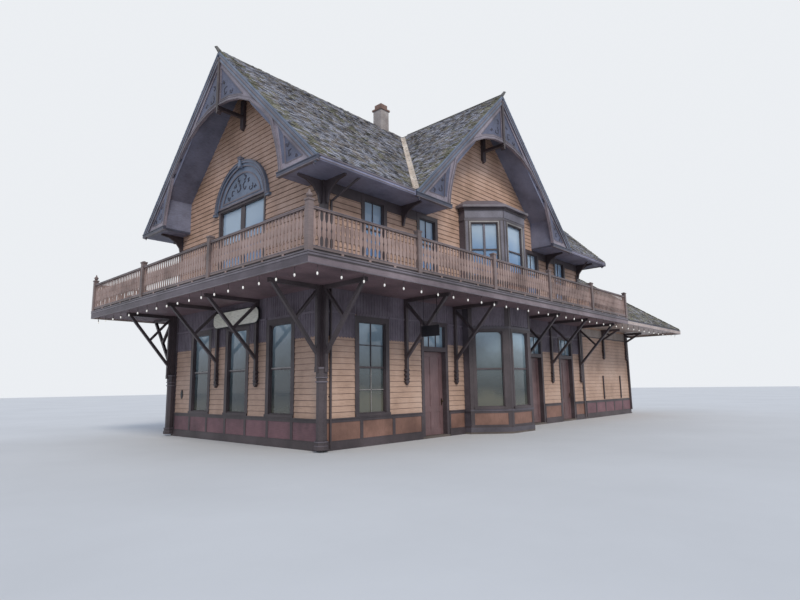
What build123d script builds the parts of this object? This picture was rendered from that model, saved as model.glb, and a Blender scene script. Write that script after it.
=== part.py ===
"""Two-storey timber railway station with a freight wing.

Millimetres, +Z up. The origin is the middle of the main block on the ground.
+X runs along the tracks towards the freight wing and -Y faces the tracks.
"""
import os
from math import atan2, cos, degrees, hypot, pi, sin

from build123d import *

os.makedirs("parts", exist_ok=True)

# Main block
LENGTH = 14950
WIDTH = 7900
WALL = 180
FLOOR_TOP = 60
PLINTH_STEP = 40

# Freight wing
FREIGHT_LENGTH = 5290
FREIGHT_PITCH = 0.75

# Balcony
BALCONY_REACH = 2110
DECK_UNDER = 4060
DECK_TOP = 4260
FASCIA_BOTTOM = 4000
FASCIA_TOP = 4200
FASCIA_THICK = 25
RAIL_INSET = 60
RAIL_TOP = 5210
RAIL_WIDTH = 70
TOP_RAIL_HEIGHT = 50
LOWER_RAIL_BOTTOM = 4320
LOWER_RAIL_HEIGHT = 60
POST_SIZE = 130
POST_TOP = 5310
BALUSTER_PITCH = 130
BALUSTER_WIDTH = 95
BALUSTER_THICK = 22

# Roof, pitched at 45 degrees on every main slope
RIDGE = 11920
OVERHANG = 950
ROOF_DEPTH = 127
VERGE_REACH = 980
BARGE_REACH = 930
BARGE_THICK = 50
EAVE_BOTTOM = 6880
EAVE_TOP = 7030
EAVE_BOARD = 30
SOFFIT_THICK = 35
RETURN_INSET = 3330
GABLE_SOFFIT = 11290

# Openings
DOOR_X = 3080
SIDE_X = 5750
DOOR_GAP = 1140
JAMB = 50
DOOR_HEAD = 2570
TRANSOM_BAR = 140
TRANSOM_HEAD = 3360
LEAF_THICK = 45
LEAF_DEPTH = 130
LEAF_CLEAR = 7
CASING_WIDTH = 120
CASING_THICK = 30
WINDOW_WIDTH = 1060
WINDOW_SILL = 810
SILL_HEIGHT = 45
SILL_REACH = 60
WINDOW_HEAD = 3290
SASH = 55
SASH_DEPTH = 90
GLASS_THICK = 6
END_WINDOW_PITCH = 2180
UPPER_WIDTH = 810
UPPER_SILL = 5080
UPPER_HEAD = 6740
UPPER_WINDOWS = (-5645, -3295, 3295, 5645)
PAIR_WIDTH = 2520
PAIR_SILL = 4900
PAIR_HEAD = 7180

# Bay, the same plan on both floors
BAY_HALF = 1605
BAY_RETURN = 250
BAY_CANT = 930
BAY_WALL = 150
BAY_TOP = 7450
BAY_MOUTH = BAY_HALF - BAY_WALL

# Brackets
BRACKET_REACH = 1680
BRACKET_THICK = 90
BRACKET_FOOT = 2330
SMALL_REACH = 900
SMALL_FOOT = 3580
SMALL_TIP = 2670
TRACK_BRACKETS = (-4420, -2060, 2060, 4420, 7050)
END_BRACKETS = (-1090, 1090)
TRIM_THICK = 22

HALF_LENGTH = LENGTH / 2
HALF_WIDTH = WIDTH / 2
FREIGHT_END = HALF_LENGTH + FREIGHT_LENGTH
EAVE_RUN = HALF_WIDTH + OVERHANG
SLOPE_END = EAVE_RUN - EAVE_BOARD


def block(low, high, mode=Mode.ADD):
    """Add or cut a box between two opposite corners."""
    middle = [(a + b) / 2 for a, b in zip(low, high)]
    size = [b - a for a, b in zip(low, high)]
    with Locations(tuple(middle)):
        Box(*size, mode=mode)


def wall_face(x, y, z, outward):
    """Plane on a wall, its normal pointing outward and its second axis up."""
    normal = Vector(*outward, 0)
    return Plane(origin=(x, y, z), x_dir=Vector(0, 0, 1).cross(normal), z_dir=normal)


def cut_hole(face, width, height, depth):
    """Cut a rectangular hole through a wall, centred on the face plane."""
    with BuildSketch(face) as hole:
        Rectangle(width, height)
    extrude(hole.sketch, amount=depth, both=True, mode=Mode.SUBTRACT)


def window_face(x, y, sill, head, outward):
    return wall_face(x, y, (sill + head) / 2, outward)


END_WINDOW_Y = [-END_WINDOW_PITCH, 0, END_WINDOW_PITCH]
END_FACES = [
    window_face(-HALF_LENGTH, y, WINDOW_SILL, WINDOW_HEAD, (-1, 0)) for y in END_WINDOW_Y
]
TRACK_FACE = window_face(-SIDE_X, -HALF_WIDTH, WINDOW_SILL, WINDOW_HEAD, (0, -1))
REAR_X = [-SIDE_X, -DOOR_X, 0, DOOR_X, SIDE_X]
REAR_FACES = [
    window_face(x, HALF_WIDTH, WINDOW_SILL, WINDOW_HEAD, (0, 1)) for x in REAR_X
]
PAIR_FACE = window_face(-HALF_LENGTH, 0, PAIR_SILL, PAIR_HEAD, (-1, 0))
UPPER_TRACK_FACES = [
    window_face(x, -HALF_WIDTH, UPPER_SILL, UPPER_HEAD, (0, -1)) for x in UPPER_WINDOWS
]
UPPER_REAR_FACES = [
    window_face(x, HALF_WIDTH, UPPER_SILL, UPPER_HEAD, (0, 1)) for x in UPPER_WINDOWS
]
REAR_PAIR_FACE = window_face(0, HALF_WIDTH, UPPER_SILL, UPPER_HEAD, (0, 1))


# Bay plan and the planes of its faces
BAY_SHOULDER = BAY_HALF - BAY_CANT
BAY_FRONT = -HALF_WIDTH - BAY_RETURN - BAY_CANT
BAY_PLAN = [
    (-BAY_HALF, -HALF_WIDTH + 2 * BAY_WALL),
    (-BAY_HALF, -HALF_WIDTH - BAY_RETURN),
    (-BAY_SHOULDER, BAY_FRONT),
    (BAY_SHOULDER, BAY_FRONT),
    (BAY_HALF, -HALF_WIDTH - BAY_RETURN),
    (BAY_HALF, -HALF_WIDTH + 2 * BAY_WALL),
]
BAY_WINDOW = 1000
CANT_WINDOW = 960
ORIEL_SILL = 5080
ORIEL_HEAD = 6960


def bay_faces(sill, head):
    """Front face, then the two canted faces, at the middle of their windows."""
    side = BAY_HALF - BAY_CANT / 2
    y = -HALF_WIDTH - BAY_RETURN - BAY_CANT / 2
    return [
        window_face(0, BAY_FRONT, sill, head, (0, -1)),
        window_face(-side, y, sill, head, (-(0.5**0.5), -(0.5**0.5))),
        window_face(side, y, sill, head, (0.5**0.5, -(0.5**0.5))),
    ]


BAY_BANDS = [
    (FLOOR_TOP, 200, 45),
    (WINDOW_SILL - SILL_HEIGHT - 60, WINDOW_SILL - SILL_HEIGHT, 40),
    (WINDOW_HEAD + 60, WINDOW_HEAD + 130, 30),
    (4900, ORIEL_SILL - SILL_HEIGHT, 30),
    (ORIEL_HEAD + 60, ORIEL_HEAD + 130, 30),
]


def bay_band(bottom, top, proud):
    """String course round the bay's outer faces."""
    with BuildSketch(Plane.XY.offset(bottom)) as course:
        Polygon(*BAY_PLAN, align=None)
        offset(amount=proud, kind=Kind.INTERSECTION)
        Polygon(*BAY_PLAN, align=None, mode=Mode.SUBTRACT)
        with Locations((0, 0)):
            Rectangle(3 * BAY_HALF, WIDTH + 2 * TRIM_THICK, mode=Mode.SUBTRACT)
    extrude(course.sketch, amount=top - bottom)


def bay_storey(bottom, top, sill, head):
    """Walls of one storey of the bay, open towards the room."""
    with BuildPart() as storey:
        with BuildSketch(Plane.XY.offset(bottom)):
            Polygon(*BAY_PLAN, align=None)
            offset(amount=-BAY_WALL, kind=Kind.INTERSECTION, mode=Mode.SUBTRACT)
        extrude(amount=top - bottom)
        block(
            (-BAY_HALF, -HALF_WIDTH, bottom),
            (BAY_HALF, -HALF_WIDTH + 2 * BAY_WALL, top),
            Mode.SUBTRACT,
        )
        front, left, right = bay_faces(sill, head)
        cut_hole(front, BAY_WINDOW, head - sill, BAY_WALL)
        cut_hole(left, CANT_WINDOW, head - sill, BAY_WALL)
        cut_hole(right, CANT_WINDOW, head - sill, BAY_WALL)
        for low, high, proud in BAY_BANDS:
            if bottom <= low < top:
                bay_band(low, high, proud)
    return storey.part


# Foundation: one low plinth under every wall, with the ground floor on it
with BuildPart() as foundation:
    block(
        (-HALF_LENGTH - PLINTH_STEP, -HALF_WIDTH - PLINTH_STEP, 0),
        (FREIGHT_END + PLINTH_STEP, HALF_WIDTH + PLINTH_STEP, FLOOR_TOP),
    )
    with BuildSketch():
        Polygon(*BAY_PLAN, align=None)
        offset(amount=PLINTH_STEP, kind=Kind.INTERSECTION)
    extrude(amount=FLOOR_TOP)
foundation.part.label = "foundation"
export_step(foundation.part, "parts/foundation.step")

# Ground floor end wall with three tall windows
with BuildPart() as near_wall:
    block(
        (-HALF_LENGTH, -HALF_WIDTH, FLOOR_TOP),
        (-HALF_LENGTH + WALL, HALF_WIDTH, DECK_UNDER),
    )
    for face in END_FACES:
        cut_hole(face, WINDOW_WIDTH, WINDOW_HEAD - WINDOW_SILL, WALL)
near_wall.part.label = "near_wall"
export_step(near_wall.part, "parts/near_wall.step")

# Trackside wall piers, split at the doorways and the bay
DOORS = (-DOOR_X, DOOR_X, SIDE_X)
INNER_END = HALF_LENGTH - WALL
PIER_ENDS = [
    (-INNER_END, -DOOR_X - DOOR_GAP / 2),
    (-DOOR_X + DOOR_GAP / 2, -BAY_MOUTH),
    (BAY_MOUTH, DOOR_X - DOOR_GAP / 2),
    (DOOR_X + DOOR_GAP / 2, SIDE_X - DOOR_GAP / 2),
    (SIDE_X + DOOR_GAP / 2, INNER_END),
]
with BuildPart() as track_wall_piers:
    for start, end in PIER_ENDS:
        block((start, -HALF_WIDTH, FLOOR_TOP), (end, -HALF_WIDTH + WALL, DECK_UNDER))
    cut_hole(TRACK_FACE, WINDOW_WIDTH, WINDOW_HEAD - WINDOW_SILL, WALL)
track_wall_piers.part.label = "track_wall_piers"
export_step(track_wall_piers.part, "parts/track_wall_piers.step")

# Wall over the doorways and over the mouth of the bay
LINTEL = TRANSOM_HEAD + JAMB
with BuildPart() as track_wall_lintels:
    for x in DOORS:
        block(
            (x - DOOR_GAP / 2, -HALF_WIDTH, LINTEL),
            (x + DOOR_GAP / 2, -HALF_WIDTH + WALL, DECK_UNDER),
        )
    block(
        (-BAY_MOUTH, -HALF_WIDTH, LINTEL),
        (BAY_MOUTH, -HALF_WIDTH + WALL, DECK_UNDER),
    )
track_wall_lintels.part.label = "track_wall_lintels"
export_step(track_wall_lintels.part, "parts/track_wall_lintels.step")

# Rear wall, five windows in the rhythm of the trackside
with BuildPart() as rear_wall:
    block((-INNER_END, HALF_WIDTH - WALL, FLOOR_TOP), (INNER_END, HALF_WIDTH, DECK_UNDER))
    for face in REAR_FACES:
        cut_hole(face, WINDOW_WIDTH, WINDOW_HEAD - WINDOW_SILL, WALL)
rear_wall.part.label = "rear_wall"
export_step(rear_wall.part, "parts/rear_wall.step")

# Gable walls: the tops follow the underside of the roof
SHOULDER = RIDGE - ROOF_DEPTH - HALF_WIDTH
PEAK = RIDGE - ROOF_DEPTH


def gable_outline(bottom):
    """Five-sided outline of a gable wall, drawn on a wall plane at ground level."""
    Polygon(
        (-HALF_WIDTH, bottom),
        (HALF_WIDTH, bottom),
        (HALF_WIDTH, SHOULDER),
        (0, PEAK),
        (-HALF_WIDTH, SHOULDER),
        align=None,
    )


NEAR_GABLE = wall_face(-HALF_LENGTH, 0, 0, (-1, 0))
FAR_GABLE = wall_face(HALF_LENGTH, 0, 0, (1, 0))
TRACK_GABLE = wall_face(0, -HALF_WIDTH, 0, (0, -1))
REAR_GABLE = wall_face(0, HALF_WIDTH, 0, (0, 1))
GABLES = (NEAR_GABLE, FAR_GABLE, TRACK_GABLE, REAR_GABLE)

with BuildPart() as near_gable_wall:
    with BuildSketch(NEAR_GABLE):
        gable_outline(DECK_TOP)
    extrude(amount=-WALL)
    cut_hole(PAIR_FACE, PAIR_WIDTH, PAIR_HEAD - PAIR_SILL, WALL)
near_gable_wall.part.label = "near_gable_wall"
export_step(near_gable_wall.part, "parts/near_gable_wall.step")

# The far wall stands between the main block and the freight room, to the gable's top
with BuildPart() as far_wall:
    with BuildSketch(FAR_GABLE):
        gable_outline(FLOOR_TOP)
    extrude(amount=-WALL)
far_wall.part.label = "far_wall"
export_step(far_wall.part, "parts/far_wall.step")

# Upper side walls, up to the level where the cross gables begin
with BuildPart() as upper_side_walls:
    for low, high in ((-HALF_WIDTH, -HALF_WIDTH + WALL), (HALF_WIDTH - WALL, HALF_WIDTH)):
        block((-INNER_END, low, DECK_TOP), (INNER_END, high, SHOULDER))
    block(
        (-BAY_MOUTH, -HALF_WIDTH, DECK_TOP),
        (BAY_MOUTH, -HALF_WIDTH + WALL, BAY_TOP),
        Mode.SUBTRACT,
    )
    for face in UPPER_TRACK_FACES + UPPER_REAR_FACES + [REAR_PAIR_FACE]:
        cut_hole(face, UPPER_WIDTH, UPPER_HEAD - UPPER_SILL, WALL)
upper_side_walls.part.label = "upper_side_walls"
export_step(upper_side_walls.part, "parts/upper_side_walls.step")

with BuildPart() as cross_gable_walls:
    for plane in (TRACK_GABLE, REAR_GABLE):
        with BuildSketch(plane):
            Polygon((-HALF_WIDTH, SHOULDER), (HALF_WIDTH, SHOULDER), (0, PEAK), align=None)
        extrude(amount=-WALL)
cross_gable_walls.part.label = "cross_gable_walls"
export_step(cross_gable_walls.part, "parts/cross_gable_walls.step")

# Bay walls on both floors
lower_bay = bay_storey(FLOOR_TOP, DECK_UNDER, WINDOW_SILL, WINDOW_HEAD)
upper_bay = bay_storey(DECK_TOP, BAY_TOP, ORIEL_SILL, ORIEL_HEAD)
with BuildPart() as bay_walls:
    add(lower_bay)
    add(upper_bay)
bay_walls.part.label = "bay_walls"
export_step(bay_walls.part, "parts/bay_walls.step")

# Shallow hipped cap over the upper bay
CAP_REACH = 170
CAP_EDGE = 80
CAP_RISE = 300
CAP_TAPER = 60
with BuildPart() as oriel_cap:
    with BuildSketch(Plane.XY.offset(BAY_TOP)):
        Polygon(*BAY_PLAN, align=None)
        offset(amount=CAP_REACH, kind=Kind.INTERSECTION)
    extrude(amount=CAP_EDGE)
    extrude(faces().sort_by(Axis.Z)[-1], amount=CAP_RISE, taper=CAP_TAPER)
    block(
        (-2 * BAY_HALF, -HALF_WIDTH, BAY_TOP),
        (2 * BAY_HALF, 0, BAY_TOP + CAP_EDGE + CAP_RISE),
        Mode.SUBTRACT,
    )
oriel_cap.part.label = "oriel_cap"
export_step(oriel_cap.part, "parts/oriel_cap.step")

# Balcony: one floor deck under the upper storey, reaching out on three sides
DECK_REACH = BALCONY_REACH - FASCIA_THICK
with BuildPart() as balcony_floor:
    block(
        (-HALF_LENGTH - DECK_REACH, -HALF_WIDTH - DECK_REACH, DECK_UNDER),
        (HALF_LENGTH - WALL, HALF_WIDTH + DECK_REACH, DECK_TOP),
    )
    for side in (-1, 1):
        edges = sorted((side * HALF_WIDTH, side * (HALF_WIDTH + DECK_REACH)))
        block(
            (HALF_LENGTH - WALL, edges[0], DECK_UNDER),
            (HALF_LENGTH, edges[1], DECK_TOP),
        )
balcony_floor.part.label = "balcony_floor"
export_step(balcony_floor.part, "parts/balcony_floor.step")

with BuildPart() as balcony_fascia:
    block(
        (-HALF_LENGTH - BALCONY_REACH, -HALF_WIDTH - BALCONY_REACH, FASCIA_BOTTOM),
        (HALF_LENGTH, HALF_WIDTH + BALCONY_REACH, FASCIA_TOP),
    )
    block(
        (-HALF_LENGTH - DECK_REACH, -HALF_WIDTH - DECK_REACH, FASCIA_BOTTOM),
        (HALF_LENGTH, HALF_WIDTH + DECK_REACH, FASCIA_TOP),
        Mode.SUBTRACT,
    )
balcony_fascia.part.label = "balcony_fascia"
export_step(balcony_fascia.part, "parts/balcony_fascia.step")

# Railing posts, evenly spaced between the corners
POST_LINE_X = HALF_LENGTH + BALCONY_REACH - RAIL_INSET
POST_LINE_Y = HALF_WIDTH + BALCONY_REACH - RAIL_INSET
LAST_POST = HALF_LENGTH - POST_SIZE / 2
SIDE_BAYS = 5
END_BAYS = 3
SIDE_POSTS = [
    -POST_LINE_X + (LAST_POST + POST_LINE_X) * i / SIDE_BAYS for i in range(SIDE_BAYS + 1)
]
END_POSTS = [-POST_LINE_Y + 2 * POST_LINE_Y * i / END_BAYS for i in range(END_BAYS + 1)]
POST_SPOTS = [(x, y) for x in SIDE_POSTS for y in (-POST_LINE_Y, POST_LINE_Y)]
POST_SPOTS += [(-POST_LINE_X, y) for y in END_POSTS[1:-1]]
CORNER_SPOTS = [(-POST_LINE_X, -POST_LINE_Y), (-POST_LINE_X, POST_LINE_Y)]
POST_CAP = 30
POST_CAP_HEIGHT = 40
POST_HEAD = POST_TOP + POST_CAP_HEIGHT
POST_KNOB = 60
POST_KNOB_HEIGHT = 25
TURNED_TIP = [(POST_HEAD, 35), (5370, 35), (5410, 66), (5450, 66), (5490, 28), (5550, 12)]


def turned(x, y, profile):
    """Turned piece on an upright axis, from heights and radii going up."""
    for (low, wide), (high, narrow) in zip(profile, profile[1:]):
        with Locations((x, y, (low + high) / 2)):
            if wide == narrow:
                Cylinder(wide, high - low)
            else:
                Cone(wide, narrow, high - low)



with BuildPart() as railing_posts:
    for x, y in POST_SPOTS:
        half = POST_SIZE / 2
        block((x - half, y - half, DECK_TOP), (x + half, y + half, POST_TOP))
        wide = half + POST_CAP / 2
        block((x - wide, y - wide, POST_TOP), (x + wide, y + wide, POST_HEAD))
        if (x, y) in CORNER_SPOTS:
            turned(x, y, TURNED_TIP)
        else:
            half = POST_KNOB / 2
            top = POST_HEAD + POST_KNOB_HEIGHT
            block((x - half, y - half, POST_HEAD), (x + half, y + half, top))
railing_posts.part.label = "railing_posts"
export_step(railing_posts.part, "parts/railing_posts.step")


def rail_spans(posts):
    """Clear spans between the faces of neighbouring posts."""
    half = POST_SIZE / 2
    return [(a + half, b - half) for a, b in zip(posts, posts[1:])]


RAIL_LEVELS = [
    (LOWER_RAIL_BOTTOM, LOWER_RAIL_BOTTOM + LOWER_RAIL_HEIGHT),
    (RAIL_TOP - TOP_RAIL_HEIGHT, RAIL_TOP),
]
with BuildPart() as rails:
    half = RAIL_WIDTH / 2
    for bottom, top in RAIL_LEVELS:
        for start, end in rail_spans(SIDE_POSTS):
            for y in (-POST_LINE_Y, POST_LINE_Y):
                block((start, y - half, bottom), (end, y + half, top))
        for start, end in rail_spans(END_POSTS):
            x = -POST_LINE_X
            block((x - half, start, bottom), (x + half, end, top))
rails.part.label = "rails"
export_step(rails.part, "parts/rails.step")

BALUSTER_LOW = LOWER_RAIL_BOTTOM + LOWER_RAIL_HEIGHT
BALUSTER_HEIGHT = RAIL_TOP - TOP_RAIL_HEIGHT - BALUSTER_LOW


def baluster_centres(posts):
    """Boards evenly spread in each span, at about the baluster pitch."""
    centres = []
    for start, end in rail_spans(posts):
        count = round((end - start) / BALUSTER_PITCH)
        step = (end - start) / count
        centres += [start + step * (i + 0.5) for i in range(count)]
    return centres


with BuildPart() as end_balusters:
    middle = BALUSTER_LOW + BALUSTER_HEIGHT / 2
    with Locations(*[(-POST_LINE_X, y, middle) for y in baluster_centres(END_POSTS)]):
        Box(BALUSTER_THICK, BALUSTER_WIDTH, BALUSTER_HEIGHT)
end_balusters.part.label = "end_balusters"
export_step(end_balusters.part, "parts/end_balusters.step")

with BuildPart() as track_balusters:
    with Locations(*[(x, -POST_LINE_Y, middle) for x in baluster_centres(SIDE_POSTS)]):
        Box(BALUSTER_WIDTH, BALUSTER_THICK, BALUSTER_HEIGHT)
track_balusters.part.label = "track_balusters"
export_step(track_balusters.part, "parts/track_balusters.step")

with BuildPart() as rear_balusters:
    with Locations(*[(x, POST_LINE_Y, middle) for x in baluster_centres(SIDE_POSTS)]):
        Box(BALUSTER_WIDTH, BALUSTER_THICK, BALUSTER_HEIGHT)
rear_balusters.part.label = "rear_balusters"
export_step(rear_balusters.part, "parts/rear_balusters.step")

# Corner columns: octagonal shaft on a stepped base, moulded capital, square upper post
COLUMN_WIDTH = 250
COLUMN_OFFSET = 89
COLUMN_BANDS = [
    (FLOOR_TOP, 150, 340),
    (150, 165, 320),
    (165, 240, 300),
    (240, 265, 320),
    (1650, 1690, 290),
    (1760, 1785, 300),
    (1785, 1960, 276),
    (1960, 2030, 300),
]
CAPITAL_TOP = 2030
CORBEL = 190
CORBEL_WIDTH = 110
CORBEL_FOOT = 1900
UPPER_POST = 160


def octagon_drum(x, y, width, bottom, top):
    """Octagonal drum, flats facing along the axes and the diagonals."""
    with BuildSketch(Plane.XY.offset(bottom)) as drum:
        with Locations((x, y)):
            RegularPolygon(width / 2, 8, major_radius=False, rotation=22.5)
    extrude(drum.sketch, amount=top - bottom)


def column(x, y):
    """One corner column; the rings at foot and head are cut away where the walls meet it."""
    side = 1 if y > 0 else -1
    half = CORBEL_WIDTH / 2
    with BuildPart() as shaft:
        for bottom, top, width in COLUMN_BANDS:
            octagon_drum(x, y, width, bottom, top)
        block((x - CORBEL, y - half, CORBEL_FOOT), (x, y + half, CAPITAL_TOP))
        reach = sorted((y, y + side * CORBEL))
        block((x - half, reach[0], CORBEL_FOOT), (x + half, reach[1], CAPITAL_TOP))
        block(
            (-HALF_LENGTH - TRIM_THICK, -HALF_WIDTH - TRIM_THICK, 0),
            (0, HALF_WIDTH + TRIM_THICK, DECK_UNDER),
            Mode.SUBTRACT,
        )
        octagon_drum(x, y, COLUMN_WIDTH, FLOOR_TOP, CAPITAL_TOP)
        with BuildSketch(Plane.XY.offset(CAPITAL_TOP)):
            with Locations((x, y)):
                Rectangle(UPPER_POST, UPPER_POST)
        extrude(amount=DECK_UNDER - CAPITAL_TOP)
    return shaft.part


COLUMN_SPOTS = [
    (-HALF_LENGTH - COLUMN_OFFSET, side * (HALF_WIDTH + COLUMN_OFFSET)) for side in (-1, 1)
]
column_parts = [column(x, y) for x, y in COLUMN_SPOTS]
with BuildPart() as corner_columns:
    for piece in column_parts:
        add(piece)
corner_columns.part.label = "corner_columns"
export_step(corner_columns.part, "parts/corner_columns.step")

# Brackets: wall post with a carved drop, beam under the deck, crossed struts
POST_DEPTH = 110
BEAM_DEPTH = 110
STRUT = 80
COUNTER = 65
DROP_TIP = 1590
CROSSING = 0.5


def strut_bar(start, end, thick):
    """Straight bar of a given depth between two points of the bracket's side view."""
    run = end[0] - start[0]
    rise = end[1] - start[1]
    with Locations(((start[0] + end[0]) / 2, (start[1] + end[1]) / 2)):
        Rectangle(hypot(run, rise), thick, rotation=degrees(atan2(rise, run)))


def bracket_outline(reach, drop, strut_foot):
    """Side view: the wall is at zero and the deck's underside on top."""
    foot = drop if drop else CAPITAL_TOP
    if drop:
        Polygon(
            (0, foot + 60),
            (POST_DEPTH / 2, foot),
            (POST_DEPTH, foot + 60),
            (POST_DEPTH * 0.7, foot + 110),
            (POST_DEPTH, foot + 160),
            (POST_DEPTH, DECK_UNDER),
            (0, DECK_UNDER),
            align=None,
        )
    else:
        Polygon(
            (0, foot), (POST_DEPTH, foot), (POST_DEPTH, DECK_UNDER), (0, DECK_UNDER), align=None
        )
    with Locations((reach / 2, DECK_UNDER - BEAM_DEPTH / 2)):
        Rectangle(reach, BEAM_DEPTH)
    low = (POST_DEPTH / 2, strut_foot)
    high = (reach - STRUT, DECK_UNDER - BEAM_DEPTH / 2)
    crossing = [a + (b - a) * CROSSING for a, b in zip(low, high)]
    strut_bar(low, high, STRUT)
    strut_bar((POST_DEPTH / 2, DECK_UNDER - BEAM_DEPTH), crossing, COUNTER)
    Polygon((0, 0), (reach, 0), (reach, DECK_UNDER), (0, DECK_UNDER), align=None, mode=Mode.INTERSECT)


def bracket(x, y, outward, reach=BRACKET_REACH, drop=DROP_TIP, strut_foot=BRACKET_FOOT):
    """Bracket standing out from a wall point, on a plane square to the wall."""
    out = Vector(*outward, 0).normalized()
    side = Plane(origin=(x, y, 0), x_dir=out, z_dir=out.cross(Vector(0, 0, 1)))
    with BuildPart() as piece:
        with BuildSketch(side):
            bracket_outline(reach, drop, strut_foot)
        extrude(amount=BRACKET_THICK / 2, both=True)
    return piece.part


FREIGHT_BRACKETS = [HALF_LENGTH + FREIGHT_LENGTH * 0.42, FREIGHT_END - 200]
bracket_parts = []
for side in (-1, 1):
    for x in TRACK_BRACKETS:
        bracket_parts.append(bracket(x, side * HALF_WIDTH, (0, side)))
    for x in FREIGHT_BRACKETS:
        small = bracket(x, side * HALF_WIDTH, (0, side), SMALL_REACH, SMALL_TIP, SMALL_FOOT)
        bracket_parts.append(small)
for y in END_BRACKETS:
    bracket_parts.append(bracket(-HALF_LENGTH, y, (-1, 0)))
CORNER_REACH = BRACKET_REACH - COLUMN_OFFSET - UPPER_POST / 2
for x, y in COLUMN_SPOTS:
    side = 1 if y > 0 else -1
    face = UPPER_POST / 2
    bracket_parts.append(bracket(x - face, y, (-1, 0), CORNER_REACH, None))
    bracket_parts.append(bracket(x, y + side * face, (0, side), CORNER_REACH, None))
with BuildPart() as brackets:
    for piece in bracket_parts:
        add(piece)
brackets.part.label = "brackets"
export_step(brackets.part, "parts/brackets.step")

# Main and cross roofs: 45 degree slabs, mitred along the valleys
MITRE = 12000
PART_LINE = 2


def roof_section(end):
    """Inverted V of the roof slab across the ridge, drawn on a gable plane."""
    Polygon(
        (0, RIDGE),
        (end, RIDGE - end),
        (end, RIDGE - ROOF_DEPTH - end),
        (0, RIDGE - ROOF_DEPTH),
        (-end, RIDGE - ROOF_DEPTH - end),
        (-end, RIDGE - end),
        align=None,
    )


def valley_plan(axis_x, sign):
    """Plan of one quarter: all that lies within 45 degrees of a roof's own axis."""
    far = sign * MITRE
    if axis_x:
        points = [(0, 0), (far, -MITRE), (far, MITRE)]
    else:
        points = [(0, 0), (-MITRE, far), (MITRE, far)]
    Polygon(*points, align=None)


def roof_arm(axis_x, sign, length):
    """One arm of the crossed roof, from the crossing out to its verge."""
    plane = Plane.YZ if axis_x else Plane.XZ
    with BuildPart() as arm:
        with BuildSketch(plane):
            roof_section(SLOPE_END)
        extrude(amount=length * (sign if axis_x else -sign))
        with BuildSketch():
            valley_plan(axis_x, sign)
        extrude(amount=RIDGE + ROOF_DEPTH, mode=Mode.INTERSECT)
        with Locations((0, 0, RIDGE)):
            Box(PART_LINE, PART_LINE, RIDGE, mode=Mode.SUBTRACT)
    return arm.part


with BuildPart() as main_roof:
    add(roof_arm(True, -1, HALF_LENGTH + VERGE_REACH))
    add(roof_arm(True, 1, HALF_LENGTH + VERGE_REACH))
main_roof.part.label = "main_roof"
export_step(main_roof.part, "parts/main_roof.step")

with BuildPart() as cross_roof:
    add(roof_arm(False, -1, HALF_WIDTH + VERGE_REACH))
    add(roof_arm(False, 1, HALF_WIDTH + VERGE_REACH))
cross_roof.part.label = "cross_roof"
export_step(cross_roof.part, "parts/cross_roof.step")

# Ridge caps, an inverted V of lead over both ridges
CAP_WING = 110
CAP_THICK = 25
HORN = 80
HORN_REACH = 140
HORN_THICK = 44
with BuildPart() as ridge_cap:
    for plane, half in ((Plane.YZ, HALF_LENGTH + VERGE_REACH), (Plane.XZ, HALF_WIDTH + VERGE_REACH)):
        with BuildSketch(plane):
            Polygon(
                (0, RIDGE),
                (CAP_WING, RIDGE - CAP_WING),
                (CAP_WING, RIDGE - CAP_WING + CAP_THICK),
                (0, RIDGE + CAP_THICK),
                (-CAP_WING, RIDGE - CAP_WING + CAP_THICK),
                (-CAP_WING, RIDGE - CAP_WING),
                align=None,
            )
        extrude(amount=half, both=True)
    for plane in (Plane.YZ, Plane.XZ):
        with BuildSketch(plane):
            Polygon(
                (0, RIDGE),
                (2 * CAP_WING, RIDGE - 2 * CAP_WING),
                (-2 * CAP_WING, RIDGE - 2 * CAP_WING),
                align=None,
            )
        extrude(amount=MITRE, both=True, mode=Mode.SUBTRACT)
    for plane, half in ((Plane.XZ, HALF_LENGTH + VERGE_REACH), (Plane.YZ, HALF_WIDTH + VERGE_REACH)):
        with BuildSketch(plane) as horns:
            for sign in (-1, 1):
                Polygon(
                    (sign * (half - HORN), RIDGE + CAP_THICK),
                    (sign * (half - HORN), RIDGE),
                    (sign * half, RIDGE),
                    (sign * half, RIDGE - HORN),
                    (sign * (half + HORN_REACH), RIDGE + HORN),
                    (sign * (half + HORN_REACH / 2), RIDGE + 1.5 * HORN),
                    align=None,
                )
        extrude(horns.sketch, amount=HORN_THICK / 2, both=True)
ridge_cap.part.label = "ridge_cap"
export_step(ridge_cap.part, "parts/ridge_cap.step")

# Chimney, saddled over the ridge, with a flue and a cap stone
CHIMNEY_X = -1280
CHIMNEY_SIZE = 440
CHIMNEY_TOP = 12600
FLUE = 200
FLUE_DEPTH = 600
POT_TOP = 12870
with BuildPart() as chimney:
    half = CHIMNEY_SIZE / 2
    block((CHIMNEY_X - half, -half, RIDGE - half), (CHIMNEY_X + half, half, CHIMNEY_TOP))
    with BuildSketch(Plane.YZ.offset(CHIMNEY_X)):
        Polygon(
            (0, RIDGE + CAP_THICK),
            (MITRE, RIDGE + CAP_THICK - MITRE),
            (-MITRE, RIDGE + CAP_THICK - MITRE),
            align=None,
        )
    extrude(amount=CHIMNEY_SIZE, both=True, mode=Mode.SUBTRACT)
    half = FLUE / 2
    block(
        (CHIMNEY_X - half, -half, CHIMNEY_TOP - FLUE_DEPTH),
        (CHIMNEY_X + half, half, CHIMNEY_TOP),
        Mode.SUBTRACT,
    )
chimney.part.label = "chimney"
export_step(chimney.part, "parts/chimney.step")

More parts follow.
